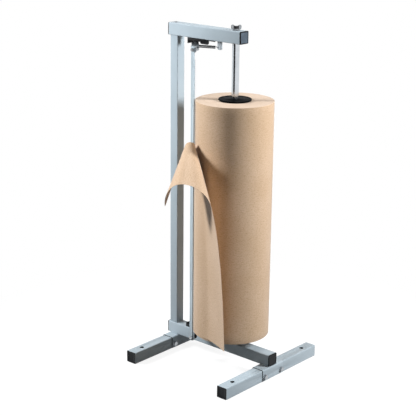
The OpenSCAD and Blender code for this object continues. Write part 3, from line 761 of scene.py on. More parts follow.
class PieceShop:
    """Finishes pieces: sets their body, slot and the CAD nodes that they stand for."""

    def __init__(self, rack: FinishRack) -> None:
        """Keeps the finishes."""
        self.rack = rack

    def install(self, name: str, mesh: bpy.types.Mesh, slot: str, body: Body,
                *nodes: str) -> bpy.types.Object:
        """Makes a piece, rides it on a body and hides the nodes that it replaces.

        Args:
            name: the piece's name.
            mesh: the finished mesh.
            slot: the record's material slot.
            body: the body that it rides on.
            *nodes: CAD nodes that it stands for.

        Returns:
            The object.
        """
        piece = new_piece(name, mesh, self.rack[slot])
        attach(piece, body.value)
        if nodes:
            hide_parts(*nodes)
        log.info("%s: %d faces on %s", name, len(mesh.polygons), body.value)
        return piece

    def cast(self, node: str, work: bmesh.types.BMesh, angle: float, slot: str,
             body: Body) -> bpy.types.Object:
        """Turns bmesh work into the piece that stands for one CAD node.

        Args:
            node: the node's name; the piece adds _piece to it.
            work: the finished bmesh, which is freed.
            angle: edges sharper than this stay sharp, in degrees.
            slot: the record's material slot.
            body: the body that it rides on.

        Returns:
            The object.
        """
        mesh = finish_mesh(mesh_from(node, work), angle)
        return self.install(node + "_piece", mesh, slot, body, node)

    def soften(self, node: str, slot: str, body: Body, width: float) -> bpy.types.Object:
        """Replaces a CAD node by itself with rolled edges."""
        return self.install(node + "_piece", softened(node, width), slot, body, node)

    def dress(self, slot: str, *nodes: str) -> None:
        """Gives a finish to CAD nodes that stay.

        Args:
            slot: the record's material slot.
            *nodes: the nodes' names.
        """
        for node in nodes:
            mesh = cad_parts[node].data
            mesh.materials.clear()
            mesh.materials.append(self.rack[slot])


# --------------------------------------------------------------------------- geometry nodes


class NodeForge(NodeBench):
    """A geometry node tree built in code, with named inputs."""

    PREFIX = "GeometryNode"

    def __init__(self, name: str) -> None:
        """Starts an empty tree with geometry in and out.

        Args:
            name: the tree's name.
        """
        self.tree = bpy.data.node_groups.new(name, "GeometryNodeTree")
        for way in ("INPUT", "OUTPUT"):
            self.tree.interface.new_socket("Geometry", in_out=way,
                                           socket_type="NodeSocketGeometry")
        super().__init__(self.tree)
        self.entry = self.nodes.new("NodeGroupInput")
        self.exit = self.nodes.new("NodeGroupOutput")
        self.keys: dict[str, str] = {}

    def socket(self, name: str, kind: str) -> bpy.types.NodeSocket:
        """Adds a named input.

        Args:
            name: the input's name.
            kind: its type, without the NodeSocket prefix.

        Returns:
            Its socket inside the tree.
        """
        item = self.tree.interface.new_socket(name, in_out="INPUT",
                                              socket_type="NodeSocket" + kind)
        self.keys[name] = item.identifier
        return self.entry.outputs[name]

    def copies(self, points: bpy.types.NodeSocket) -> bpy.types.NodeSocket:
        """Sets a copy of a pattern mesh, the input Pattern, on every point.

        Args:
            points: the geometry whose points take the copies.

        Returns:
            The copies' socket.
        """
        info = self.add("ObjectInfo")
        self.join(self.socket("Pattern", "Object"), info.inputs["Object"])
        copies = self.add("InstanceOnPoints")
        self.join(points, copies.inputs["Points"])
        self.join(info.outputs["Geometry"], copies.inputs["Instance"])
        return copies.outputs["Instances"]

    def close(self, geometry: bpy.types.NodeSocket) -> None:
        """Ends the tree in Realize Instances and Set Material.

        Args:
            geometry: the socket that the tree ends in so far.
        """
        material = self.socket("Material", "Material")
        real = self.add("RealizeInstances")
        dress = self.add("SetMaterial")
        self.join(geometry, real.inputs[0])
        self.join(real.outputs[0], dress.inputs["Geometry"])
        self.join(material, dress.inputs["Material"])
        self.join(dress.outputs[0], self.exit.inputs[0])

    def run(self, host: bpy.types.Object, **values: object) -> bpy.types.Mesh:
        """Evaluates the tree on a host object and removes the host.

        Args:
            host: the object whose geometry enters the tree.
            **values: input values by name, with _ for a space.

        Returns:
            A plain mesh.
        """
        modifier = host.modifiers.new("forge", "NODES")
        modifier.node_group = self.tree
        for name, value in values.items():
            modifier[self.keys[name.replace("_", " ")]] = value
        bpy.context.view_layer.update()
        graph = bpy.context.evaluated_depsgraph_get()
        mesh = bpy.data.meshes.new_from_object(host.evaluated_get(graph))
        host.modifiers.remove(modifier)
        data = host.data
        bpy.data.objects.remove(host)
        if isinstance(data, bpy.types.Curve):
            bpy.data.curves.remove(data)
        return mesh


def seed_object(mesh: bpy.types.Mesh) -> bpy.types.Object:
    """Links a bare mesh as a helper object.

    Args:
        mesh: the mesh.

    Returns:
        The helper object, with the mesh's name.
    """
    obj = bpy.data.objects.new(mesh.name, mesh)
    bpy.context.scene.collection.objects.link(obj)
    return obj


def points_mesh(name: str, points: Sequence[Vector]) -> bpy.types.Mesh:
    """Makes a mesh of loose points.

    Args:
        name: the mesh's name.
        points: where the points are.

    Returns:
        The new mesh.
    """
    mesh = bpy.data.meshes.new(name)
    mesh.from_pydata([tuple(p) for p in points], [], [])
    return mesh


def applied(host: bpy.types.Object) -> bpy.types.Mesh:
    """Applies a helper object's modifiers and removes the object.

    Args:
        host: the helper object.

    Returns:
        A plain mesh.
    """
    graph = bpy.context.evaluated_depsgraph_get()
    mesh = bpy.data.meshes.new_from_object(host.evaluated_get(graph))
    bpy.data.objects.remove(host)
    return mesh


def forge_copies() -> NodeForge:
    """Makes the tree that sets a copy of a pattern mesh on every point that enters it.

    Returns:
        The tree, with the input Pattern.
    """
    forge = NodeForge("copies_on_points")
    forge.close(forge.copies(forge.entry.outputs["Geometry"]))
    return forge


def forge_row() -> NodeForge:
    """Makes the tree that lays a row of copies of a pattern, beside what enters it.

    Returns:
        The tree, with the inputs Pattern, Count, Pitch and Start.
    """
    forge = NodeForge("copies_in_a_row")
    line = forge.add("MeshLine", mode="OFFSET")
    for name, kind, target in (("Count", "Int", "Count"), ("Pitch", "Vector", "Offset"),
                               ("Start", "Vector", "Start Location")):
        forge.join(forge.socket(name, kind), line.inputs[target])
    both = forge.add("JoinGeometry")
    forge.join(forge.copies(line.outputs["Mesh"]), both.inputs[0])
    forge.join(forge.entry.outputs["Geometry"], both.inputs[0])
    forge.close(both.outputs[0])
    return forge


def forge_wire() -> NodeForge:
    """Makes the tree that sweeps a round wire along the curve that enters it.

    Returns:
        The tree, with the inputs Radius and Sides.
    """
    forge = NodeForge("wire_on_path")
    radius = forge.socket("Radius", "Float")
    sides = forge.socket("Sides", "Int")
    circle = forge.add("CurvePrimitiveCircle")
    forge.join(radius, circle.inputs["Radius"])
    forge.join(sides, circle.inputs["Resolution"])
    skin = forge.add("CurveToMesh", in_Fill_Caps=True)
    forge.join(forge.entry.outputs["Geometry"], skin.inputs["Curve"])
    forge.join(circle.outputs["Curve"], skin.inputs["Profile Curve"])
    smooth = forge.add("SetShadeSmooth")
    forge.join(skin.outputs["Mesh"], smooth.inputs["Geometry"])
    forge.close(smooth.outputs["Geometry"])
    return forge


# --------------------------------------------------------------------------- fasteners


class HexPattern:
    """Hexagon heads and nuts with turned-off corners, and their washers."""

    STEPS = 24
    CORNER_SLOPE = 0.62
    DISH_RIM, DISH_FLOOR = 0.6, 0.52

    @classmethod
    def body(cls, work: bmesh.types.BMesh, flats: float, low: float, high: float,
             place: Matrix, dish: float = 0.0) -> None:
        """Adds a hexagon whose top corners are turned off.

        Args:
            work: the bmesh to add to.
            flats: width across flats.
            low: height of its foot in the local frame.
            high: height of its top.
            place: local to row frame.
            dish: depth of a shallow round recess in the top.
        """
        inner = flats / 2
        columns = []
        for k in range(cls.STEPS):
            angle = FULL_TURN * k / cls.STEPS + math.pi / 6
            off_middle = (angle + math.pi / 6) % (math.pi / 3) - math.pi / 6
            side = inner / math.cos(off_middle)
            shoulder = high - (side - inner) * cls.CORNER_SLOPE - 0.02 * MM
            outline = [(side, low), (side, shoulder), (inner * 0.985, high)]
            if dish:
                outline += [(inner * cls.DISH_RIM, high), (inner * cls.DISH_FLOOR, high - dish)]
            columns.append([place @ Vector((r * math.cos(angle), r * math.sin(angle), h))
                            for r, h in outline])
        ring_stack(work, list(zip(*columns)))

    @staticmethod
    def washer(work: bmesh.types.BMesh, r_out: float, r_in: float, low: float, high: float,
               place: Matrix) -> None:
        """Adds a flat washer with slightly rolled rims.

        Args:
            work: the bmesh to add to.
            r_out: outer radius.
            r_in: radius of the hole.
            low: height of its foot in the local frame.
            high: height of its top.
            place: local to row frame.
        """
        roll = min(0.25 * MM, (high - low) / 3)
        lathe(work, [(r_in, low), (r_out - roll, low), (r_out, low + roll), (r_out, high - roll),
                     (r_out - roll, high), (r_in, high)], place, 32)


@dataclass
class SaddleFasteners:
    """Hex bolts and nuts through both saddles and feet."""

    shop: PieceShop
    copies: NodeForge
    flats: float = 13 * MM
    head: float = 5.3 * MM
    washer: float = 1.6 * MM
    washer_r: float = 8 * MM
    thread_r: float = 4 * MM
    thread_tip: float = 0.6 * MM
    past_nut: float = 10.5 * MM
    nut: float = 6.5 * MM

    def build(self) -> None:
        """Makes the bolts and the nuts as two pieces."""
        low, high = box_of("saddle_bolts")
        foot_low, foot_high = box_of("front_saddle")
        face = foot_high.x
        rear = box_of("rear_saddle")[1].x
        y = (high.y - low.y) / 2 - self.washer_r
        z = (low.z + high.z) / 2
        spots = [Vector((x, s * y, z)) for x in (face, rear) for s in (-1, 1)]
        turn = Matrix.Rotation(math.pi / 2, 4, "Y")
        head = bmesh.new()
        HexPattern.washer(head, self.washer_r, self.thread_r, 0, self.washer, turn)
        HexPattern.body(head, self.flats, self.washer, self.washer + self.head, turn,
                        dish=0.5 * MM)
        wide = foot_high.x - foot_low.x
        end = -wide - self.past_nut
        lathe(head, [(0, end), (self.thread_r - self.thread_tip, end),
                     (self.thread_r, end + self.thread_tip), (self.thread_r, 0.2 * MM),
                     (0, 0.2 * MM)], turn, 24)
        self._spread("saddle_bolts_piece", head, spots, "saddle_bolts")
        nut = bmesh.new()
        back = Matrix.Rotation(-math.pi / 2, 4, "Y")
        HexPattern.washer(nut, self.washer_r, self.thread_r + 0.1 * MM, 0, self.washer, back)
        HexPattern.body(nut, self.flats, self.washer, self.washer + self.nut, back)
        self._spread("saddle_nuts_piece", nut,
                     [spot - Vector((wide, 0, 0)) for spot in spots], "saddle_nuts")

    def _spread(self, name: str, work: bmesh.types.BMesh, spots: Sequence[Vector],
                node: str) -> None:
        """Copies one fastener to its spots and makes them one piece.

        Args:
            name: the piece's name.
            work: the fastener, as bmesh work, which is freed.
            spots: where the copies go.
            node: the CAD node that they stand for.
        """
        pattern = seed_object(mesh_from(name + "_pattern", work))
        host = seed_object(points_mesh(name + "_spots", spots))
        mesh = self.copies.run(host, Pattern=pattern,
                               Material=self.shop.rack["zinc_hardware"])
        bpy.data.objects.remove(pattern)
        finish_mesh(mesh, 28)
        self.shop.install(name, mesh, "zinc_hardware", Body.STAND, node)


# --------------------------------------------------------------------------- stand


@dataclass
class Stand:
    """Welded square-tube stand with its saddles, caps and brackets.

    The step between weld ripples is in millimetres, and every other size is in metres.
    """

    shop: PieceShop
    copies: NodeForge
    tube: float = 38.1 * MM
    corner: float = 3 * MM
    cap_sink: float = 0.9 * MM
    weld_step: float = 1.4
    weld_r: float = 1.75 * MM

    def build(self) -> None:
        """Builds tubes, saddles, welds, caps and brackets."""
        for node in ("base_beam", "post", "top_arm"):
            self.shop.soften(node, "frame_paint", Body.STAND, 0.35 * MM)
        for node in ("front_foot", "rear_foot"):
            self._foot(node)
        for node in ("front_saddle", "rear_saddle"):
            self._saddle(node)
        for node in ("upper_bracket", "lower_bracket"):
            self.shop.soften(node, "black_steel", Body.STAND, 0.6 * MM)
        for node in ("upper_spring_anchor", "lower_spring_anchor"):
            self.shop.soften(node, "lever_steel", Body.STAND, 0.5 * MM)
        self._bracket_stop()
        self._caps()
        self._welds()
        self.shop.dress("black_steel", "bracket_screws")
        self.shop.dress("zinc_hardware", "pivot_nuts", "pivot_spacers", "upper_pivot_bolt",
                        "lower_pivot_bolt")
        self._dome_screw()

    def _foot(self, node: str) -> None:
        """Foot tube: painted outside; dark steel inside the tube and in its screw holes is painted
        shade.

        Args:
            node: the foot's CAD node.
        """
        wall, hole_reach, end_reach = 1.4 * MM, 8 * MM, 3 * MM
        piece = self.shop.soften(node, "frame_paint", Body.STAND, 0.3 * MM)
        piece.data.materials.append(self.shop.rack["black_steel"])
        mid = middle_of(node)
        low, high = box_of(node)
        wide, tall = (high.x - low.x) / 2 - wall, (high.z - low.z) / 2 - wall
        # Faces within the tube and in its screw holes get painted shade.
        for face in piece.data.polygons:
            away = face.center - mid
            inside = abs(away.x) < wide and abs(away.z) < tall
            hole_shade = (abs(away.x) < hole_reach and abs(face.normal.z) < 0.5
                       and abs(abs(away.y) - (high.y - mid.y)) > end_reach)
            face.material_index = int(inside or hole_shade)

    def _saddle(self, node: str) -> None:
        """Pressed saddle: painted, with painted shade on the edge faces at its ends, where dark
        steel stands in for the shadow of the gap.

        Args:
            node: the saddle's CAD node.
        """
        edge = 0.9 * MM
        piece = self.shop.soften(node, "frame_paint", Body.STAND, 0.8 * MM)
        piece.data.materials.append(self.shop.rack["black_steel"])
        low, high = box_of(node)
        for face in piece.data.polygons:
            # Edge faces near each end get painted shade.
            shaded_end = min(face.center.y - low.y, high.y - face.center.y) < edge
            face.material_index = int(shaded_end and abs(face.normal.y) > 0.2)

    def _bracket_stop(self) -> None:
        """Stop under the upper bracket's lip that halts the lever beside the roll."""
        low, high = box_of("upper_bracket")
        length, plate, depth, thick = 34.5 * MM, 8.2 * MM, 6.4 * MM, 2.5 * MM
        x0, x1, top = high.x - length, high.x, high.z - plate
        outline = [(x0, top), (x0 + 1.5 * MM, top - 5.2 * MM), (x0 + 5 * MM, top - depth),
                   (x1 - 4 * MM, top - depth), (x1, top - 3 * MM), (x1, top)]
        work = bmesh.new()
        ring_stack(work, [[Vector((x, y, z)) for x, z in outline]
                          for y in (low.y, low.y + thick)])
        self.shop.install("bracket_stop", mesh_from("bracket_stop", work), "black_steel",
                          Body.STAND)

    def _caps(self) -> None:
        """Moulded caps of the beam, the arm and the feet."""
        ends = {
            "beam_front_cap": Vector((1, 0, 0)), "beam_rear_cap": Vector((-1, 0, 0)),
            "arm_front_cap": Vector((1, 0, 0)), "arm_rear_cap": Vector((-1, 0, 0)),
        }
        for node, normal in ends.items():
            low, high = box_of(node)
            face = Vector((high.x if normal.x > 0 else low.x, 0, (low.z + high.z) / 2))
            work = bmesh.new()
            self._cap(work, facing(normal, face), self.tube / 2, self.corner, 3.6 * MM)
            piece = self.shop.cast(node, work, 40, "cap_plastic", Body.STAND)
            # The arm cap's face gets a painted reflection as a paler panel.
            if node == "arm_front_cap":
                self._paint_cap_reflection(piece, face, self.tube / 2 - 2.6 * MM)
        for node in ("front_foot_caps", "rear_foot_caps"):
            low, high = box_of(node)
            x, z = (low.x + high.x) / 2, (low.z + high.z) / 2
            work = bmesh.new()
            for y, way in ((low.y, -1), (high.y, 1)):
                self._cap(work, facing(Vector((0, way, 0)), Vector((x, y, z))),
                          (high.x - low.x) / 2, 1.2 * MM, 2.4 * MM)
            self.shop.cast(node, work, 40, "cap_plastic", Body.STAND)

    def _paint_cap_reflection(self, piece: bpy.types.Object, centre: Vector, half: float) -> None:
        """Paints a reflection on a cap's face: a paler panel within its dark rim.

        Args:
            piece: the cap.
            centre: middle of its face.
            half: half of the panel's side.
        """
        piece.data.materials.append(self.shop.rack["cap_panel"])
        for face in piece.data.polygons:
            away = face.center - centre
            flat = abs(away.x) < 2 * MM and max(abs(away.y), abs(away.z)) < half
            # Faces of the panel take the painted reflection.
            face.material_index = int(flat)

    def _cap(self, work: bmesh.types.BMesh, place: Matrix, half: float, corner: float,
             head: float) -> None:
        """Adds one cap: rolled rim, shallow dished face and a skirt behind.

        Args:
            work: the bmesh to add to.
            place: from the cap's frame, with its face at z 0, to the row frame.
            half: half of its side.
            corner: radius of its corners.
            head: thickness of its head.
        """
        steps = [(half, -head), (half, -1.1 * MM), (half - 0.3 * MM, -0.45 * MM),
                 (half - 1.0 * MM, 0.0), (half - 3.2 * MM, 0.0),
                 (half - 4.2 * MM, -self.cap_sink), (half * 0.4, -self.cap_sink)]
        rings = [[place @ (p + Vector((0, 0, z)))
                  for p in rounded_outline(h, max(corner - (half - h) * 0.6, 0.6 * MM))]
                 for h, z in steps]
        skirt, deep = min(half - 1.7 * MM, 17.2 * MM), 15 * MM
        back = [[place @ (p + Vector((0, 0, z))) for p in rounded_outline(skirt, 1.2 * MM)]
                for z in (-head - deep, -head)]
        ring_stack(work, back + rings)

    def _welds(self) -> None:
        """Weld beads as rows of small ripples."""
        beam_low, beam_high = box_of("base_beam")
        arm_low = box_of("top_arm")[0]
        post_low, post_high = box_of("post")
        spots: list[Vector] = []
        for saddle in ("front_saddle", "rear_saddle"):
            x = middle_of(saddle).x
            for y in (beam_low.y, beam_high.y):
                out = math.copysign(0.4 * MM, y)
                spots += [Vector((x + d * MM, y + out, beam_low.z + 0.9 * MM))
                          for d in np.arange(-14, 14.1, self.weld_step)]
        for x in (post_low.x, post_high.x):
            out = math.copysign(0.3 * MM, x - middle_of("post").x)
            for z in (beam_high.z + 0.6 * MM, arm_low.z - 0.6 * MM):
                spots += [Vector((x + out, d * MM, z))
                          for d in np.arange(-11.9, 12, self.weld_step)]
        work = bmesh.new()
        bmesh.ops.create_icosphere(work, subdivisions=2, radius=1.0)
        bmesh.ops.scale(work, vec=(self.weld_r,) * 3, verts=work.verts)
        pattern = seed_object(mesh_from("weld_ripple", work))
        host = seed_object(points_mesh("weld_spots", spots))
        mesh = self.copies.run(host, Pattern=pattern, Material=self.shop.rack["frame_paint"])
        bpy.data.objects.remove(pattern)
        finish_mesh(mesh, 60)
        self.shop.install("weld_beads_piece", mesh, "frame_paint", Body.STAND, "weld_beads")

    def _dome_screw(self) -> None:
        """Domed socket screw on top of the arm."""
        low, high = box_of("arm_screw")
        place = Matrix.Translation(Vector(((low.x + high.x) / 2, (low.y + high.y) / 2, 0)))
        seat, top = box_of("top_arm")[1].z, high.z
        r, thread_r = (high.x - low.x) / 2, 2.4 * MM
        work = bmesh.new()
        lathe(work, [(0, low.z), (thread_r, low.z), (thread_r, seat), (r, seat),
                     (r, seat + 0.6 * MM), (r * 0.93, seat + 1.2 * MM),
                     (r * 0.74, top - 0.35 * MM), (r * 0.48, top), (r * 0.42, top - 0.1 * MM),
                     (r * 0.38, top - 1.3 * MM), (0, top - 1.5 * MM)], place, 40)
        self.shop.cast("arm_screw", work, 35, "zinc_hardware", Body.STAND)


# --------------------------------------------------------------------------- shaft


@dataclass
class ShaftSet:
    """Upright shaft with its stud, base bolt, collar and wing nut."""

    shop: PieceShop
    stud_r: float = 5 * MM
    stud_pitch: float = 1.5 * MM
    stud_start: float = 2.2 * MM

    def build(self) -> None:
        """Builds the shaft, its stud thread and the wing nut."""
        low, high = box_of("shaft")
        axis = Vector(((low.x + high.x) / 2, (low.y + high.y) / 2, 0))
        r = (high.x - low.x) / 2
        seat = box_of("top_arm")[0].z
        z = box_of("top_arm")[1].z + self.stud_start
        profile = [(0, low.z), (r - 0.8 * MM, low.z), (r, low.z + 0.8 * MM),
                   (r, seat - 0.9 * MM), (r - 0.9 * MM, seat - 0.02 * MM),
                   (self.stud_r, seat - 0.02 * MM), (self.stud_r, z)]
        while z + self.stud_pitch < high.z - 0.6 * MM:
            profile += [(self.stud_r - 0.7 * MM, z + self.stud_pitch / 2),
                        (self.stud_r, z + self.stud_pitch)]
            z += self.stud_pitch
        profile += [(self.stud_r - 0.9 * MM, high.z), (0, high.z)]
        work = bmesh.new()
        lathe(work, profile, Matrix.Translation(axis), 72)
        self.shop.cast("shaft", work, 30, "shaft_steel", Body.STAND)
        self.shop.dress("plain_steel", "thrust_collar", "thrust_washer")
        self.shop.dress("black_steel", "collar_set_screw")
        self._washer(axis)
        self._base_bolt(axis)
        WingNut(self.shop).build(axis)

    def _washer(self, axis: Vector) -> None:
        """Washer under the wing nut.

        Args:
            axis: the shaft's axis, at z 0.
        """
        low, high = box_of("arm_washer")
        work = bmesh.new()
        HexPattern.washer(work, (high.x - low.x) / 2, self.stud_r + 0.2 * MM, low.z, high.z,
                          Matrix.Translation(axis))
        self.shop.cast("arm_washer", work, 30, "zinc_hardware", Body.STAND)

    def _base_bolt(self, axis: Vector) -> None:
        """Bolt that holds the shaft from under the beam.

        Args:
            axis: the shaft's axis, at z 0.
        """
        washer, thread_r = 1.6 * MM, 4 * MM
        low, high = box_of("shaft_base_bolt")
        seat = box_of("base_beam")[0].z
        flip = Matrix.Translation(axis + Vector((0, 0, seat))) @ Matrix.Rotation(math.pi, 4, "X")
        work = bmesh.new()
        HexPattern.washer(work, 9 * MM, thread_r + 0.1 * MM, 0, washer, flip)
        HexPattern.body(work, 13 * MM, washer, seat - low.z, flip, dish=0.4 * MM)
        lathe(work, [(0, seat - high.z), (thread_r, seat - high.z),
                     (thread_r, washer + 0.1 * MM), (0, washer + 0.1 * MM)], flip, 24)
        self.shop.cast("shaft_base_bolt", work, 30, "zinc_hardware", Body.STAND)


@dataclass
class WingNut:
    """Cast wing nut: a flanged hub and two ears, fused and smoothed.

    The outlines and the ear's radius are in millimetres from the nut's foot.
    """

    shop: PieceShop
    turn: float = math.radians(41)
    hub: tuple[tuple[float, float], ...] = (
        (0, 0.4), (10.6, 0.4), (11, 1.0), (10.4, 2.2), (8.0, 3.2), (7.1, 10.6), (6.3, 11.5),
        (0, 11.5))
    web: tuple[tuple[float, float], ...] = (
        (2, 0.9), (9, 0.9), (13.8, 1.8), (15.6, 6.0), (15.6, 10.6), (12.4, 14.2), (8.6, 14.2),
        (6.0, 11.2), (2, 11.2))
    web_middle: tuple[float, float] = (8, 7)
    span: float = 17.0 * MM
    ear_in: float = 6.4 * MM
    ear_drop: float = 5.8 * MM
    ear_r: float = 5.4
    voxel: float = 0.42 * MM

    def build(self, axis: Vector) -> None:
        """Builds the nut on its axis.

        Args:
            axis: the shaft's axis, at z 0.
        """
        low, high = box_of("wing_nut")
        place = Matrix.Translation(axis + Vector((0, 0, low.z))) @ Matrix.Rotation(
            self.turn, 4, "Z")
        work = bmesh.new()
        lathe(work, [(r * MM, z * MM) for r, z in self.hub], place, 40)
        for side in (-1, 1):
            self._ear(work, place, side, high.z - low.z)
        host = seed_object(mesh_from("wing_nut_parts", work))
        fuse = host.modifiers.new("fuse", "REMESH")
        fuse.mode, fuse.voxel_size = "VOXEL", self.voxel
        calm = host.modifiers.new("calm", "SMOOTH")
        calm.factor, calm.iterations = 0.5, 6
        solid = finish_mesh(applied(host), 60)
        piece = self.shop.install("wing_nut_piece", solid, "zinc_hardware", Body.WING, "wing_nut")
        # The hub gets painted shade in dark steel.
        self._paint_hub_shade(piece, axis, low.z)

    def _ear(self, work: bmesh.types.BMesh, place: Matrix, side: int, tall: float) -> None:
        """Adds one ear: a round tip and the web that carries it.

        Args:
            work: the bmesh to add to.
            place: from the nut's frame to the row frame.
            side: which way it points along x, -1 or 1.
            tall: height of the nut.
        """
        points = 28
        centre = Vector((side * (self.span - self.ear_in), 0, tall - self.ear_drop))
        rings = []
        for y, shrink in ((-2.6, 1.3), (-2.0, 0.3), (0, 0), (2.0, 0.3), (2.6, 1.3)):
            r = (self.ear_r - shrink) * MM
            rings.append([place @ (centre + Vector((side * r * math.cos(a), y * MM,
                                                    r * math.sin(a))))
                          for a in (FULL_TURN * k / points for k in range(points))])
        ring_stack(work, rings)
        mid_x, mid_z = self.web_middle
        rings = [[place @ Vector((side * (x * k + mid_x * (1 - k)) * MM, y * MM,
                                  (z * k + mid_z * (1 - k)) * MM)) for x, z in self.web]
                 for y, k in ((-2.6, 0.86), (-1.9, 1), (1.9, 1), (2.6, 0.86))]
        ring_stack(work, rings)

    def _paint_hub_shade(self, piece: bpy.types.Object, axis: Vector, foot: float) -> None:
        """Paints shade on the hub between the ears: dark steel stands in for the shadow in the
        nut's middle.

        Args:
            piece: the finished nut.
            axis: the shaft's axis, at z 0.
            foot: height of the nut's foot.
        """
        piece.data.materials.append(self.shop.rack["black_steel"])
        for face in piece.data.polygons:
            away = (face.center - axis).to_2d().length
            hub = 3 * MM < away < 8.4 * MM and 3.4 * MM < face.center.z - foot < 13 * MM
            face.material_index = int(hub)


# --------------------------------------------------------------------------- roll


@dataclass
class RollSet:
    """Wound paper on its core, with the two core plugs."""

    shop: PieceShop
    steps: int = 192
    wraps: int = 46
    wrap_seed: int = 7
    core_wall: float = 5 * MM
    place: Matrix = field(init=False)
    r_out: float = field(init=False)
    r_in: float = field(init=False)

    def build(self) -> None:
        """Builds the wound paper, the core and the plugs."""
        low, high = box_of("paper_roll")
        axis = middle_of("shaft")
        self.place = Matrix.Translation(Vector((axis.x, axis.y, 0)))
        self.r_out = (high.y - low.y) / 2
        core_low, core_high = box_of("roll_core")
        self.r_in = (core_high.y - core_low.y) / 2
        self._paper(low.z, high.z)
        self._core(core_low.z, core_high.z)
        self._plug("top_core_plug", high.z, 1)
        self._plug("bottom_core_plug", low.z, -1)

    def _paper(self, foot: float, head: float) -> None:
        """Wound paper: a smooth side and two end faces with faint steps between wraps.

        Args:
            foot: height of its lower end face.
            head: height of its upper end face.
        """
        rng = np.random.default_rng(self.wrap_seed)
        radii = np.linspace(self.r_in, self.r_out - 0.5 * MM, self.wraps)
        sink = np.cumsum(rng.normal(0, 0.05 * MM, self.wraps))
        sink = 0.12 * MM + sink - sink.min()
        sink *= 0.55 * MM / max(sink.max(), 1e-9)
        profile: list[tuple[float, float]] = [(r, foot + s) for r, s in zip(radii, sink)]
        profile += [(self.r_out - 0.12 * MM, foot + 0.1 * MM), (self.r_out, foot + 0.5 * MM)]
        rises = np.linspace(foot + 0.02, head - 0.02, 24)
        profile += [(self.r_out - 0.06 * MM, float(z)) for z in rises]
        profile += [(self.r_out, head - 0.5 * MM), (self.r_out - 0.12 * MM, head - 0.1 * MM)]
        profile += [(r, head - s) for r, s in zip(radii[::-1], sink[::-1])]
        work = bmesh.new()
        lathe(work, profile, self.place, self.steps)
        mesh = mesh_from("wound_paper", work)
        self._map(mesh)
        piece = self.shop.install("wound_paper", finish_mesh(mesh, 35), "kraft_paper",
                                  Body.ROLL, "paper_roll")
        piece.data.materials.append(self.shop.rack["kraft_edge"])
        for face in piece.data.polygons:
            if abs(face.normal.z) > 0.7:
                face.material_index = 1

    def _map(self, mesh: bpy.types.Mesh) -> None:
        """Lays the paper map: metres round the roll and metres up.

        Args:
            mesh: the wound paper's mesh, which is changed.
        """
        layer = mesh.uv_layers.new(name="paper")
        centre = self.place.translation
        for face in mesh.polygons:
            turns = []
            for loop in face.loop_indices:
                p = mesh.vertices[mesh.loops[loop].vertex_index].co
                turns.append(math.atan2(p.y - centre.y, p.x - centre.x))
            if max(turns) - min(turns) > math.pi:
                turns = [t + FULL_TURN if t < 0 else t for t in turns]
            for loop, turn in zip(face.loop_indices, turns):
                p = mesh.vertices[mesh.loops[loop].vertex_index].co
                layer.data[loop].uv = (turn * self.r_out, p.z)

    def _core(self, foot: float, head: float) -> None:
        """Board core tube.

        Args:
            foot: height of its lower end.
            head: height of its upper end.
        """
        inner, short = self.r_in - self.core_wall, 0.1 * MM
        work = bmesh.new()
        lathe(work, [(inner, foot + short), (self.r_in, foot + short),
                     (self.r_in, head - short), (inner, head - short)], self.place, 96)
        self.shop.install("core_tube", finish_mesh(mesh_from("core_tube", work), 35),
                          "core_board", Body.ROLL, "roll_core")

    def _plug(self, node: str, seat: float, way: int) -> None:
        """Core plug: rimmed flange with a raised hub and a shallow ring.

        Args:
            node: the plug's CAD node.
            seat: height of the roll's end that it sits on.
            way: 1 for the upper plug, -1 for the lower.
        """
        low, high = box_of(node)
        edge = high.z if way > 0 else low.z
        rim = (high.x - low.x) / 2
        thick = abs(edge - seat)
        bore, sleeve, skirt, deep = 11.25 * MM, 17 * MM, 37.9 * MM, 40 * MM
        web, under, groove = -0.5 * MM, 0.05 * MM, thick - 0.8 * MM
        shape = [(bore, -deep), (sleeve, -deep), (sleeve, web), (skirt - 3 * MM, web),
                 (skirt - 3 * MM, -deep), (skirt, -deep), (skirt, under), (rim - 0.5 * MM, under),
                 (rim, 0.6 * MM), (rim, thick - 1.3 * MM), (rim - 0.4 * MM, thick - 0.5 * MM),
                 (rim - 1.3 * MM, thick - 0.05 * MM), (rim - 5 * MM, thick - 0.1 * MM),
                 (rim - 5.8 * MM, groove), (21 * MM, groove), (19.6 * MM, thick - 0.1 * MM),
                 (bore + 0.7 * MM, thick), (bore, thick - 0.7 * MM)]
        turn = self.place @ Matrix.Translation(Vector((0, 0, seat)))
        if way < 0:
            turn = turn @ Matrix.Rotation(math.pi, 4, "X")
        work = bmesh.new()
        lathe(work, shape, turn, 96)
        self.shop.cast(node, work, 35, "plug_plastic", Body.ROLL)


# --------------------------------------------------------------------------- paper tail


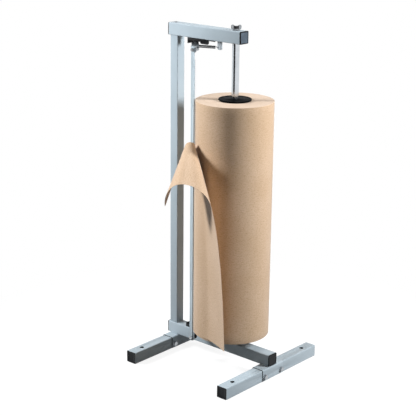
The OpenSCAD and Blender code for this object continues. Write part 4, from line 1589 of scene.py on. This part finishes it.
@dataclass
class PaperTail:
    """Drawn-off sheet: it hugs the roll, leaves it past the blade and curls over."""

    shop: PieceShop
    curls: tuple[float, ...] = (-14.0, 0.594, 4.152, 1.39)
    stops: tuple[float, ...] = (1.69, 52.5, 85.3)
    width: float = 235 * MM
    tear: float = 654.3 * MM
    corner: float = 747.9 * MM
    apex_r: float = 57.2 * MM
    lift: float = 10.7 * MM
    lift_fade: float = 400 * MM
    wrap: float = math.radians(18)
    tail_turn: float = math.radians(220.921)
    course: float = math.radians(-41.68)
    mid_gap: float = 0.7 * MM
    clear: float = 0.8 * MM
    thick: float = 0.4 * MM
    past_corner: float = math.radians(0.6)
    hem_rise: float = 17 * MM
    rows: int = 64
    wrap_columns: int = 14
    top_rows: int = 10
    axis: Vector = field(init=False)
    mid_r: float = field(init=False)
    foot_z: float = field(init=False)
    length: float = field(init=False)

    @staticmethod
    def _spin(v: np.ndarray, axis: np.ndarray, angle: float) -> np.ndarray:
        """Turns a vector about an axis."""
        return (v * math.cos(angle) + np.cross(axis, v) * math.sin(angle)
                + axis * float(axis @ v) * (1 - math.cos(angle)))

    def _fan(self, angle: float) -> np.ndarray:
        """Direction of the straight ruling at an angle from straight down.

        Args:
            angle: the angle on the flat sheet, in radians.

        Returns:
            A unit vector in the row frame.
        """
        c, s = math.cos(self.course), math.sin(self.course)
        state = [np.array((0, 0, -1.0)), np.array((c, s, 0.0)), np.array((s, -c, 0.0))]
        done = 0.0
        for curl, stop in zip(self.curls, [math.radians(a) for a in self.stops] + [9.0]):
            arc = min(angle, stop) - done
            if arc <= 0:
                break
            way = curl * state[0] + state[2]
            size = float(np.linalg.norm(way))
            state = [self._spin(v, way / size, arc * size) for v in state]
            done = min(angle, stop)
        return state[0]

    def _corners(self) -> tuple[float, float]:
        """Angles of the rulings that end in the lower and in the torn corner."""
        return (math.atan2(self.width, self.tear - self.hem_rise),
                math.pi / 2 + math.atan2(self.corner - self.tear, self.width))

    def _reach(self, angle: float) -> float:
        """Finds how far the ruling at an angle runs, out to the sheet's edge.

        Args:
            angle: the angle on the flat sheet, in radians.

        Returns:
            The distance from the fan's apex.
        """
        foot, tip = self._corners()
        if angle < foot:
            return self.tear / (math.cos(angle) + math.sin(angle) * self.hem_rise / self.width)
        if angle < tip:
            return self.width / math.sin(angle)
        return (self.corner - self.tear) / -math.cos(angle)

    def _lift(self, angle: float, r: float) -> float:
        """How far the tail stands off the roll, most near the end of the tear."""
        t = min(math.degrees(angle) / 10, 1.0)
        return self.lift * t * t * (3 - 2 * t) * math.exp((self.apex_r - r) / self.lift_fade)

    def _clear_roll(self, p: np.ndarray, soft: float) -> np.ndarray:
        """Keeps a point outside the roll.

        Args:
            p: the point.
            soft: how early the push begins, in metres.

        Returns:
            The point, moved straight away from the roll's axis where it was too near.
        """
        dx, dy = p[0] - self.axis.x, p[1] - self.axis.y
        d = math.hypot(dx, dy)
        over = d - self.mid_r - self.clear
        kept = self.mid_r + self.clear + (over + math.sqrt(over * over + soft * soft)) / 2
        return np.array((self.axis.x + dx * kept / d, self.axis.y + dy * kept / d, p[2]))

    def _wrapped(self, work: bmesh.types.BMesh) -> list[list[tuple[bmesh.types.BMVert, UV]]]:
        """Adds the columns of points that still lie on the roll.

        Args:
            work: the bmesh to add to.

        Returns:
            Columns of points, each with its place on the flat sheet.
        """
        straight = self.tear - self.apex_r
        rise = [straight * j / self.rows for j in range(self.rows + 1)]
        left = self.length - self.tear + self.apex_r
        rise += [straight + left * (j + 1) / self.top_rows for j in range(self.top_rows)]
        columns = []
        for i in range(self.wrap_columns + 1):
            share = 1 - i / self.wrap_columns
            turn = self.tail_turn - self.wrap * share
            along = -self.mid_r * self.wrap * share
            columns.append([(work.verts.new((self.axis.x + self.mid_r * math.cos(turn),
                                             self.axis.y + self.mid_r * math.sin(turn),
                                             self.foot_z + h)), (along, h)) for h in rise])
        return columns

    def _fanned(self, work: bmesh.types.BMesh) -> list[list[tuple[bmesh.types.BMVert, UV]]]:
        """Adds the columns of points along the rulings that leave the roll.

        Args:
            work: the bmesh to add to.

        Returns:
            Columns of points, each with its place on the flat sheet.
        """
        apex = np.array((self.axis.x + self.mid_r * math.cos(self.tail_turn),
                         self.axis.y + self.mid_r * math.sin(self.tail_turn),
                         self.foot_z + self.tear))
        out = np.array((math.cos(self.tail_turn), math.sin(self.tail_turn), 0.0))
        foot, tip = self._corners()
        angles = np.concatenate([np.linspace(0, 0.06, 13)[:-1], np.linspace(0.06, foot, 26)[:-1],
                                 np.linspace(foot, 1.05, 46)[:-1], np.linspace(1.05, tip, 60),
                                 [tip + self.past_corner]])
        columns = []
        for angle in map(float, angles[1:]):
            way, far = self._fan(angle), self._reach(angle)
            column = []
            for j in range(self.rows + 1):
                r = self.apex_r + (far - self.apex_r) * (1 - j / self.rows)
                soft = min(5 * MM, 0.3 * MM + math.degrees(angle) * r / 900)
                lifted = apex + way * r + out * self._lift(angle, r)
                column.append((work.verts.new(self._clear_roll(lifted, soft)),
                               (r * math.sin(angle), self.tear - r * math.cos(angle))))
            columns.append(column)
        return columns

    def _sheet(self) -> bpy.types.Mesh:
        """Skins the columns and maps the sheet flat.

        Returns:
            The sheet's mesh, without thickness.
        """
        work = bmesh.new()
        columns = self._wrapped(work) + self._fanned(work)
        where = {vert: uv for column in columns for vert, uv in column}
        layer = work.loops.layers.uv.new("paper")
        for a, b in zip(columns, columns[1:]):
            for j in range(min(len(a), len(b)) - 1):
                work.faces.new((a[j][0], b[j][0], b[j + 1][0], a[j + 1][0]))
        for face in work.faces:
            for loop in face.loops:
                loop[layer].uv = where[loop.vert]
        return mesh_from("paper_tail", work, turn_out=False)

    def build(self) -> None:
        low, high = box_of("paper_roll")
        self.axis = middle_of("shaft")
        self.mid_r = (high.y - low.y) / 2 + self.mid_gap
        self.foot_z, self.length = low.z, high.z - low.z
        mesh = self._sheet()
        host = seed_object(mesh)
        shell = host.modifiers.new("thickness", "SOLIDIFY")
        shell.thickness, shell.offset = self.thick, 0.0
        solid = finish_mesh(applied(host), 50)
        piece = self.shop.install("paper_tail", solid, "kraft_paper", Body.STAND, "paper_sheet")


# --------------------------------------------------------------------------- cutter


@dataclass
class CutterSet:
    """Swing cutter: bar, serrated blade, rivets, levers, bolts and bumper."""

    shop: PieceShop
    row: NodeForge
    pitch: float = 6 * MM
    tooth: float = 1.8 * MM
    bevel: float = 2.2 * MM
    rivets: int = 8
    hex_flats: float = 10 * MM

    def build(self) -> None:
        """Builds the cutter's pieces."""
        self.shop.soften("cutter_bar", "bar_paint", Body.CUTTER, 0.5 * MM)
        self._lower_lever()
        self._upper_lever()
        self._blade()
        self._rivets()
        self._end_bolts()
        self._bumper()
        self.shop.dress("zinc_hardware", "spring_pins")

    def _lower_lever(self) -> None:
        """Lower lever: painted, with the +X faces of its bent tab in dark steel."""
        piece = self.shop.soften("lower_lever", "lever_steel", Body.CUTTER, 0.5 * MM)
        piece.data.materials.append(self.shop.rack["black_steel"])
        tab = box_of("rubber_bumper")[1].y
        for face in piece.data.polygons:
            face.material_index = int(face.center.y < tab and face.normal.x > 0.6)

    def _upper_lever(self) -> None:
        """Upper lever: dark steel over its plate and paler lever steel over its bent tab."""
        plate = 4.2 * MM
        piece = self.shop.soften("upper_lever", "black_steel", Body.CUTTER, 0.5 * MM)
        piece.data.materials.append(self.shop.rack["lever_steel"])
        brim = box_of("upper_lever")[1].z - plate
        for face in piece.data.polygons:
            face.material_index = int(face.center.z < brim)

    def _blade(self) -> None:
        """Ground blade: a strip and a row of bevelled teeth."""
        low, high = box_of("serrated_blade")
        mid, half = (low.y + high.y) / 2, (high.y - low.y) / 2
        root = high.x - self.tooth
        land = root - self.bevel
        count = round((high.z - low.z) / self.pitch)
        tall, front = self.pitch, -half * 0.35
        work = bmesh.new()
        points = [(land, -half, 0), (land, half, 0), (land, -half, tall), (land, half, tall),
                  (root, front, 0), (root, half, 0), (root, front, tall), (root, half, tall),
                  (high.x, half * 0.9, tall / 2), (high.x, half, tall / 2)]
        v = [work.verts.new((x, mid + y, z)) for x, y, z in points]
        for face in ((0, 4, 6, 2), (1, 3, 7, 5), (4, 8, 6), (5, 7, 9), (4, 5, 9, 8),
                     (6, 8, 9, 7), (0, 1, 5, 4), (2, 6, 7, 3), (0, 2, 3, 1)):
            work.faces.new([v[i] for i in face])
        pattern = seed_object(mesh_from("blade_tooth", work))
        strip = bmesh.new()
        corners = [(low.x, -half), (land, -half), (land, half), (low.x, half)]
        ring_stack(strip, [[Vector((x, mid + y, z)) for x, y in corners]
                           for z in (low.z, high.z)])
        host = seed_object(mesh_from("blade_strip", strip))
        mesh = self.row.run(host, Pattern=pattern, Count=count, Pitch=(0.0, 0.0, self.pitch),
                            Start=(0.0, 0.0, low.z), Material=self.shop.rack["blade_steel"])
        bpy.data.objects.remove(pattern)
        finish_mesh(mesh, 20)
        self.shop.install("blade_piece", mesh, "blade_steel", Body.CUTTER, "serrated_blade")

    def _rivets(self) -> None:
        """Domed rivets in a row down the bar."""
        low, high = box_of("blade_rivets")
        radius = (high.x - low.x) / 2
        place = Matrix.Translation(Vector(((low.x + high.x) / 2, 0, 0)))
        turn = place @ Matrix.Rotation(-math.pi / 2, 4, "X")
        work = bmesh.new()
        flush, shank = 0.9 * MM, 2 * MM
        lathe(work, [(0, low.y), (radius * 0.5, low.y + 0.06 * MM),
                     (radius * 0.8, low.y + 0.3 * MM), (radius, low.y + flush),
                     (shank, low.y + flush), (shank, high.y - flush),
                     (radius * 0.9, high.y - flush), (radius * 0.75, high.y - 0.2 * MM),
                     (0, high.y)], turn, 24)
        pattern = seed_object(mesh_from("blade_rivet", work))
        first = low.z + radius
        step = (high.z - low.z - 2 * radius) / (self.rivets - 1)
        host = seed_object(points_mesh("rivet_seed", []))
        mesh = self.row.run(host, Pattern=pattern, Count=self.rivets, Pitch=(0.0, 0.0, step),
                            Start=(0.0, 0.0, first), Material=self.shop.rack["bar_paint"])
        bpy.data.objects.remove(pattern)
        finish_mesh(mesh, 40)
        self.shop.install("rivets_piece", mesh, "bar_paint", Body.CUTTER, "blade_rivets")

    def _end_bolts(self) -> None:
        """Bolts through the bar's ends and the long nut of the upper one."""
        washer, thread_r = 0.8 * MM, 3 * MM
        bar_face = box_of("cutter_bar")[0].y
        for node, slot in (("upper_bar_bolt", "zinc_hardware"), ("lower_bar_bolt", "plain_steel")):
            low, high = box_of(node)
            centre = Vector(((low.x + high.x) / 2, bar_face, (low.z + high.z) / 2))
            front = Matrix.Translation(centre) @ Matrix.Rotation(math.pi / 2, 4, "X")
            end = bar_face - high.y
            work = bmesh.new()
            HexPattern.washer(work, 5.8 * MM, thread_r + 0.1 * MM, 0, washer, front)
            HexPattern.body(work, self.hex_flats, washer, bar_face - low.y, front, dish=0.3 * MM)
            lathe(work, [(0, end), (2.6 * MM, end), (thread_r, end + 0.5 * MM),
                         (thread_r, washer + 0.1 * MM), (0, washer + 0.1 * MM)], front, 24)
            self.shop.cast(node, work, 30, slot, Body.CUTTER)
        low, high = box_of("coupling_nut")
        work = bmesh.new()
        HexPattern.body(work, self.hex_flats, 0, high.y - low.y, self._behind(low, high),
                        dish=0.8 * MM)
        self.shop.cast("coupling_nut", work, 30, "zinc_hardware", Body.CUTTER)

    @staticmethod
    def _behind(low: Vector, high: Vector) -> Matrix:
        """Makes a frame on the front face of a box, whose z axis points to the back.

        Args:
            low: the box's lowest corner.
            high: its highest corner.

        Returns:
            From the new frame to the row frame.
        """
        foot = Vector(((low.x + high.x) / 2, low.y, (low.z + high.z) / 2))
        return Matrix.Translation(foot) @ Matrix.Rotation(-math.pi / 2, 4, "X")

    def _bumper(self) -> None:
        """Moulded rubber bumper with a soft nose and a neck."""
        low, high = box_of("rubber_bumper")
        r = (high.x - low.x) / 2
        deep = high.y - low.y
        work = bmesh.new()
        lathe(work, [(0, 0), (r * 0.92, 0), (r, 0.5 * MM), (r, 2.2 * MM), (r * 0.86, 3.2 * MM),
                     (r * 0.82, 4.6 * MM), (r * 0.9, 6 * MM), (r, 8 * MM),
                     (r * 0.99, deep - 3 * MM), (r * 0.86, deep - 1.2 * MM),
                     (r * 0.6, deep - 0.25 * MM), (0, deep)], self._behind(low, high), 40)
        self.shop.cast("rubber_bumper", work, 45, "bumper_rubber", Body.CUTTER)


# --------------------------------------------------------------------------- springs


@dataclass
class SpringSet:
    """Two extension springs from the levers' pins to the fixed tabs."""

    shop: PieceShop
    wire: NodeForge
    wire_d: float = 1.4 * MM
    coil_d: float = 9.4 * MM
    pitch: float = 2.03 * MM
    pin_r: float = 2.5 * MM
    hole_r: float = 2.4 * MM
    hole_edge: float = 4.7 * MM
    neck: float = 3 * MM
    slack: float = 0.3 * MM
    eye_points: int = 22
    turn_points: int = 16
    stretch_share: float = 0.5

    def build(self) -> None:
        """Builds both springs."""
        pin = middle_of("spring_pins")
        for side in ("upper", "lower"):
            low, high = box_of(side + "_spring")
            z = (low.z + high.z) / 2
            tab_low, tab_high = box_of(side + "_spring_anchor")
            half = (tab_high.y - tab_low.y) / 2
            reach = math.sqrt(((self.coil_d - self.wire_d) / 2) ** 2 - half ** 2)
            hole = tab_low.x + self.hole_edge
            anchor = Vector((hole - self.hole_r + self.wire_d / 2 + self.slack - reach, 0, z))
            start = Vector((pin.x, pin.y, z))
            mesh = self._spring(side, start, anchor)
            piece = new_piece(side + "_spring_piece", mesh, self.shop.rack["spring_steel"])
            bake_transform(piece)
            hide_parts(side + "_spring")
            log.info("%s spring: %d faces", side, len(mesh.polygons))

    def _path(self, run: float) -> list[Vector]:
        """Lays the wire's path in the spring's own frame: eye, coils, eye.

        Args:
            run: distance from the pin's middle to the far eye's centre.

        Returns:
            Points along the wire, from the pin on.
        """
        r = (self.coil_d - self.wire_d) / 2
        x0 = r - self.pin_r - self.wire_d / 2 - 0.05 * MM
        low, high = x0 + r + self.neck, run - r - self.neck
        steps = self.turn_points
        count = round((high - low) / self.pitch) * steps

        def eye(x: float, begin: float, end: float) -> list[Vector]:
            """Points round an eye, angles in degrees."""
            return [Vector((x + r * math.cos(a), r * math.sin(a), 0))
                    for a in np.radians(np.linspace(begin, end, self.eye_points))]

        coils = [Vector((low + (high - low) * i / count, r * math.cos(FULL_TURN * i / steps),
                         -r * math.sin(FULL_TURN * i / steps))) for i in range(4, count - 3)]
        return (eye(x0, 330, 90) + [Vector((x0 + r * 0.55, r * 1.02, 0.1 * MM))] + coils
                + [Vector((run - r * 0.55, r * 1.02, -0.1 * MM))] + eye(run, 90, -150))

    def _spring(self, side: str, start: Vector, anchor: Vector) -> bpy.types.Mesh:
        """Sweeps one spring's wire between its pin and its hole.

        Args:
            side: upper or lower.
            start: middle of the pin, at the spring's height.
            anchor: where the far eye is centred.

        Returns:
            The spring's mesh.
        """
        run = (anchor - start).length
        way = (anchor - start).normalized()
        place = Matrix.Translation(start) @ Matrix.Rotation(math.atan2(way.y, way.x), 4, "Z")
        curve = bpy.data.curves.new(side + "_spring_path", "CURVE")
        curve.dimensions = "3D"
        points = [place @ p for p in self._path(run)]
        spline = curve.splines.new("POLY")
        spline.points.add(len(points) - 1)
        for slot, p in zip(spline.points, points):
            slot.co = (*p, 1.0)
        host = bpy.data.objects.new(curve.name, curve)
        bpy.context.scene.collection.objects.link(host)
        mesh = self.wire.run(host, Radius=self.wire_d / 2, Sides=10,
                             Material=self.shop.rack["spring_steel"])
        return finish_mesh(mesh, 70)


# --------------------------------------------------------------------------- studio


@dataclass(frozen=True)
class Lamp:
    """A soft rectangular lamp round the stand."""

    name: str
    azimuth: float
    reach: float
    height: float
    aim: float
    size: tuple[float, float]
    power: float
    colour: tuple[float, float, float] = (0.98, 0.99, 1.0)

    def build(self) -> None:
        """Makes the lamp, turned to the stand's middle at its aim height."""
        turn = math.radians(self.azimuth)
        place = Vector((math.cos(turn) * self.reach, math.sin(turn) * self.reach, self.height))
        data = bpy.data.lights.new(self.name, "AREA")
        data.shape = "RECTANGLE"
        data.energy, data.color = self.power, self.colour
        data.size, data.size_y = self.size
        lamp = bpy.data.objects.new(self.name, data)
        away = (place - Vector((0, 0, self.aim))).normalized()
        side = Vector((-math.sin(turn), math.cos(turn), 0))
        frame3 = Matrix((side, away.cross(side), away)).transposed()
        lamp.matrix_world = Matrix.Translation(place) @ frame3.to_4x4()
        lamp.visible_camera = lamp.visible_glossy = False
        bpy.context.scene.collection.objects.link(lamp)


@dataclass(frozen=True)
class Flag:
    """A black card beside the set, seen only in gloss, that draws a dark line in metal."""

    azimuth: float
    reach: float
    wide: float
    tall: float
    foot: float = 0.02

    def build(self, name: str, material: bpy.types.Material) -> None:
        """Stands the card up, square to the stand.

        Args:
            name: the card's name.
            material: its finish.
        """
        turn = math.radians(self.azimuth)
        out = Vector((math.cos(turn), math.sin(turn), 0))
        along = Vector((-out.y, out.x, 0)) * self.wide / 2
        low = out * self.reach + Vector((0, 0, self.foot))
        high = low + Vector((0, 0, self.tall))
        mesh = bpy.data.meshes.new(name)
        mesh.from_pydata([low - along, low + along, high + along, high - along], [],
                         [(0, 1, 2, 3)])
        flag = new_piece(mesh.name, mesh, material)
        flag.visible_camera = False
        flag.visible_diffuse = False
        flag.visible_shadow = False


@dataclass
class Studio:
    """Camera, floor, world, black cards and lamps."""

    eye: tuple[float, float, float] = (2.27465, -2.67180, 1.57713)
    yaw: float = math.radians(40.9295)
    pitch: float = math.radians(17.2038)
    roll: float = math.radians(0.6979)
    lens: float = 101.51
    shift: tuple[float, float] = (-0.01313, 0.01505)
    sensor: float = 36.0
    fill: float = 0.025
    floor_side: float = 60.0
    floor_glow: float = 0.86
    shadow_reach: tuple[float, float] = (0.45, 0.95)
    flags: tuple[Flag, ...] = (
        Flag(azimuth=-106, reach=1.7, wide=0.9, tall=2.4),
        Flag(azimuth=-78, reach=2.3, wide=1.3, tall=2.6))
    lamps: tuple[Lamp, ...] = (
        Lamp("left_softbox", azimuth=221, reach=2.5, height=1.9, aim=0.8, size=(0.55, 0.65),
             power=114),
        Lamp("right_softbox", azimuth=25, reach=2.0, height=1.5, aim=0.95, size=(0.36, 0.6),
             power=71),
        Lamp("top_light", azimuth=-120, reach=0.3, height=3.0, aim=0.5, size=(1.0, 1.0),
             power=17))

    def build(self) -> None:
        """Sets the stage."""
        self._camera()
        self._world()
        self._floor()
        self._flags()
        self._lamps()
        view = bpy.context.scene.view_settings
        view.view_transform = "Standard"

    def _camera(self) -> None:
        """Camera at the measured place."""
        ahead = Vector((-math.sin(self.yaw) * math.cos(self.pitch),
                        math.cos(self.yaw) * math.cos(self.pitch), -math.sin(self.pitch)))
        right = Vector((math.cos(self.yaw), math.sin(self.yaw), 0))
        up = right.cross(ahead)
        right2 = right * math.cos(self.roll) + up * math.sin(self.roll)
        up2 = up * math.cos(self.roll) - right * math.sin(self.roll)
        data = bpy.data.cameras.new("studio_camera")
        data.lens, data.sensor_width, data.sensor_fit = self.lens, self.sensor, "HORIZONTAL"
        data.shift_x, data.shift_y = self.shift
        data.clip_end = 200
        camera = bpy.data.objects.new("studio_camera", data)
        matrix = Matrix((right2, up2, -ahead)).transposed().to_4x4()
        matrix.translation = Vector(self.eye)
        camera.matrix_world = matrix
        bpy.context.scene.collection.objects.link(camera)
        bpy.context.scene.camera = camera

    def _world(self) -> None:
        """World that is white to the eye and to gloss, and a weak fill for all other rays."""
        world = bpy.data.worlds.new("studio_world")
        bpy.context.scene.world = world
        world.use_nodes = True
        world.node_tree.nodes.clear()
        bench = StageBench(world.node_tree)
        fill = bench.add("Background", in_Color=(0.94, 0.97, 1.0, 1), in_Strength=self.fill)
        white = bench.add("Background", in_Color=(1, 1, 1, 1), in_Strength=1.0)
        sky = bench.mix(bench.seen(), fill.outputs[0], white.outputs[0])
        bench.join(sky, bench.add("OutputWorld").inputs["Surface"])

    def _floor(self) -> None:
        """Wide pale floor that keeps a soft shadow near the stand and is white further out."""
        mesh = bpy.data.meshes.new("studio_floor")
        side = self.floor_side
        mesh.from_pydata([(-side, -side, 0), (side, -side, 0), (side, side, 0), (-side, side, 0)],
                         [], [(0, 1, 2, 3)])
        material = bpy.data.materials.new("studio_floor")
        material.use_nodes = True
        material.node_tree.nodes.clear()
        bench = StageBench(material.node_tree)
        matt = bench.add("BsdfDiffuse", in_Color=(0.1, 0.1, 0.1, 1))
        veil = bench.add("BsdfDiffuse", in_Color=(0.2, 0.2, 0.2, 1))
        glow = bench.add("Emission", in_Color=(1, 1, 1, 1), in_Strength=self.floor_glow)
        white = bench.add("Emission", in_Strength=1.0)
        begin, end = self.shadow_reach
        reach = bench.add("VectorMath", operation="LENGTH")
        far = bench.add("MapRange", interpolation_type="SMOOTHSTEP", in_From_Min=begin,
                        in_From_Max=end)
        bench.join(bench.add("TexCoord").outputs["Object"], reach.inputs[0])
        bench.join(reach.outputs["Value"], far.inputs["Value"])
        near = bench.add("AddShader")
        bench.join(glow.outputs[0], near.inputs[0])
        bench.join(veil.outputs[0], near.inputs[1])
        shown = bench.mix(far.outputs["Result"], near.outputs[0], white.outputs[0])
        floor = bench.mix(bench.seen(), matt.outputs[0], shown)
        bench.join(floor, bench.add("OutputMaterial").inputs["Surface"])
        new_piece("studio_floor", mesh, material)

    def _flags(self) -> None:
        """Black cards, which stand to the left of the camera's view."""
        material = bpy.data.materials.new("studio_flag")
        material.use_nodes = True
        shader = next(n for n in material.node_tree.nodes if n.type == "BSDF_PRINCIPLED")
        shader.inputs["Base Color"].default_value = (0.012, 0.013, 0.015, 1)
        shader.inputs["Roughness"].default_value = 0.9
        for index, flag in enumerate(self.flags):
            flag.build(f"studio_flag_{index}", material)

    def _lamps(self) -> None:
        """Softboxes at the left and the right, and a weak light above."""
        for lamp in self.lamps:
            lamp.build()


def main() -> None:
    """Builds the studio and every piece in order."""
    logging.basicConfig(level=logging.INFO, format="%(name)s %(message)s")
    Studio().build()
    axis = middle_of("shaft")
    rack = FinishRack((axis.x, axis.y))
    shop = PieceShop(rack)
    copies, row, wire = forge_copies(), forge_row(), forge_wire()
    Stand(shop, copies).build()
    SaddleFasteners(shop, copies).build()
    ShaftSet(shop).build()
    RollSet(shop).build()
    PaperTail(shop).build()
    CutterSet(shop, row).build()
    SpringSet(shop, wire).build()


if __name__ == "__main__":
    main()
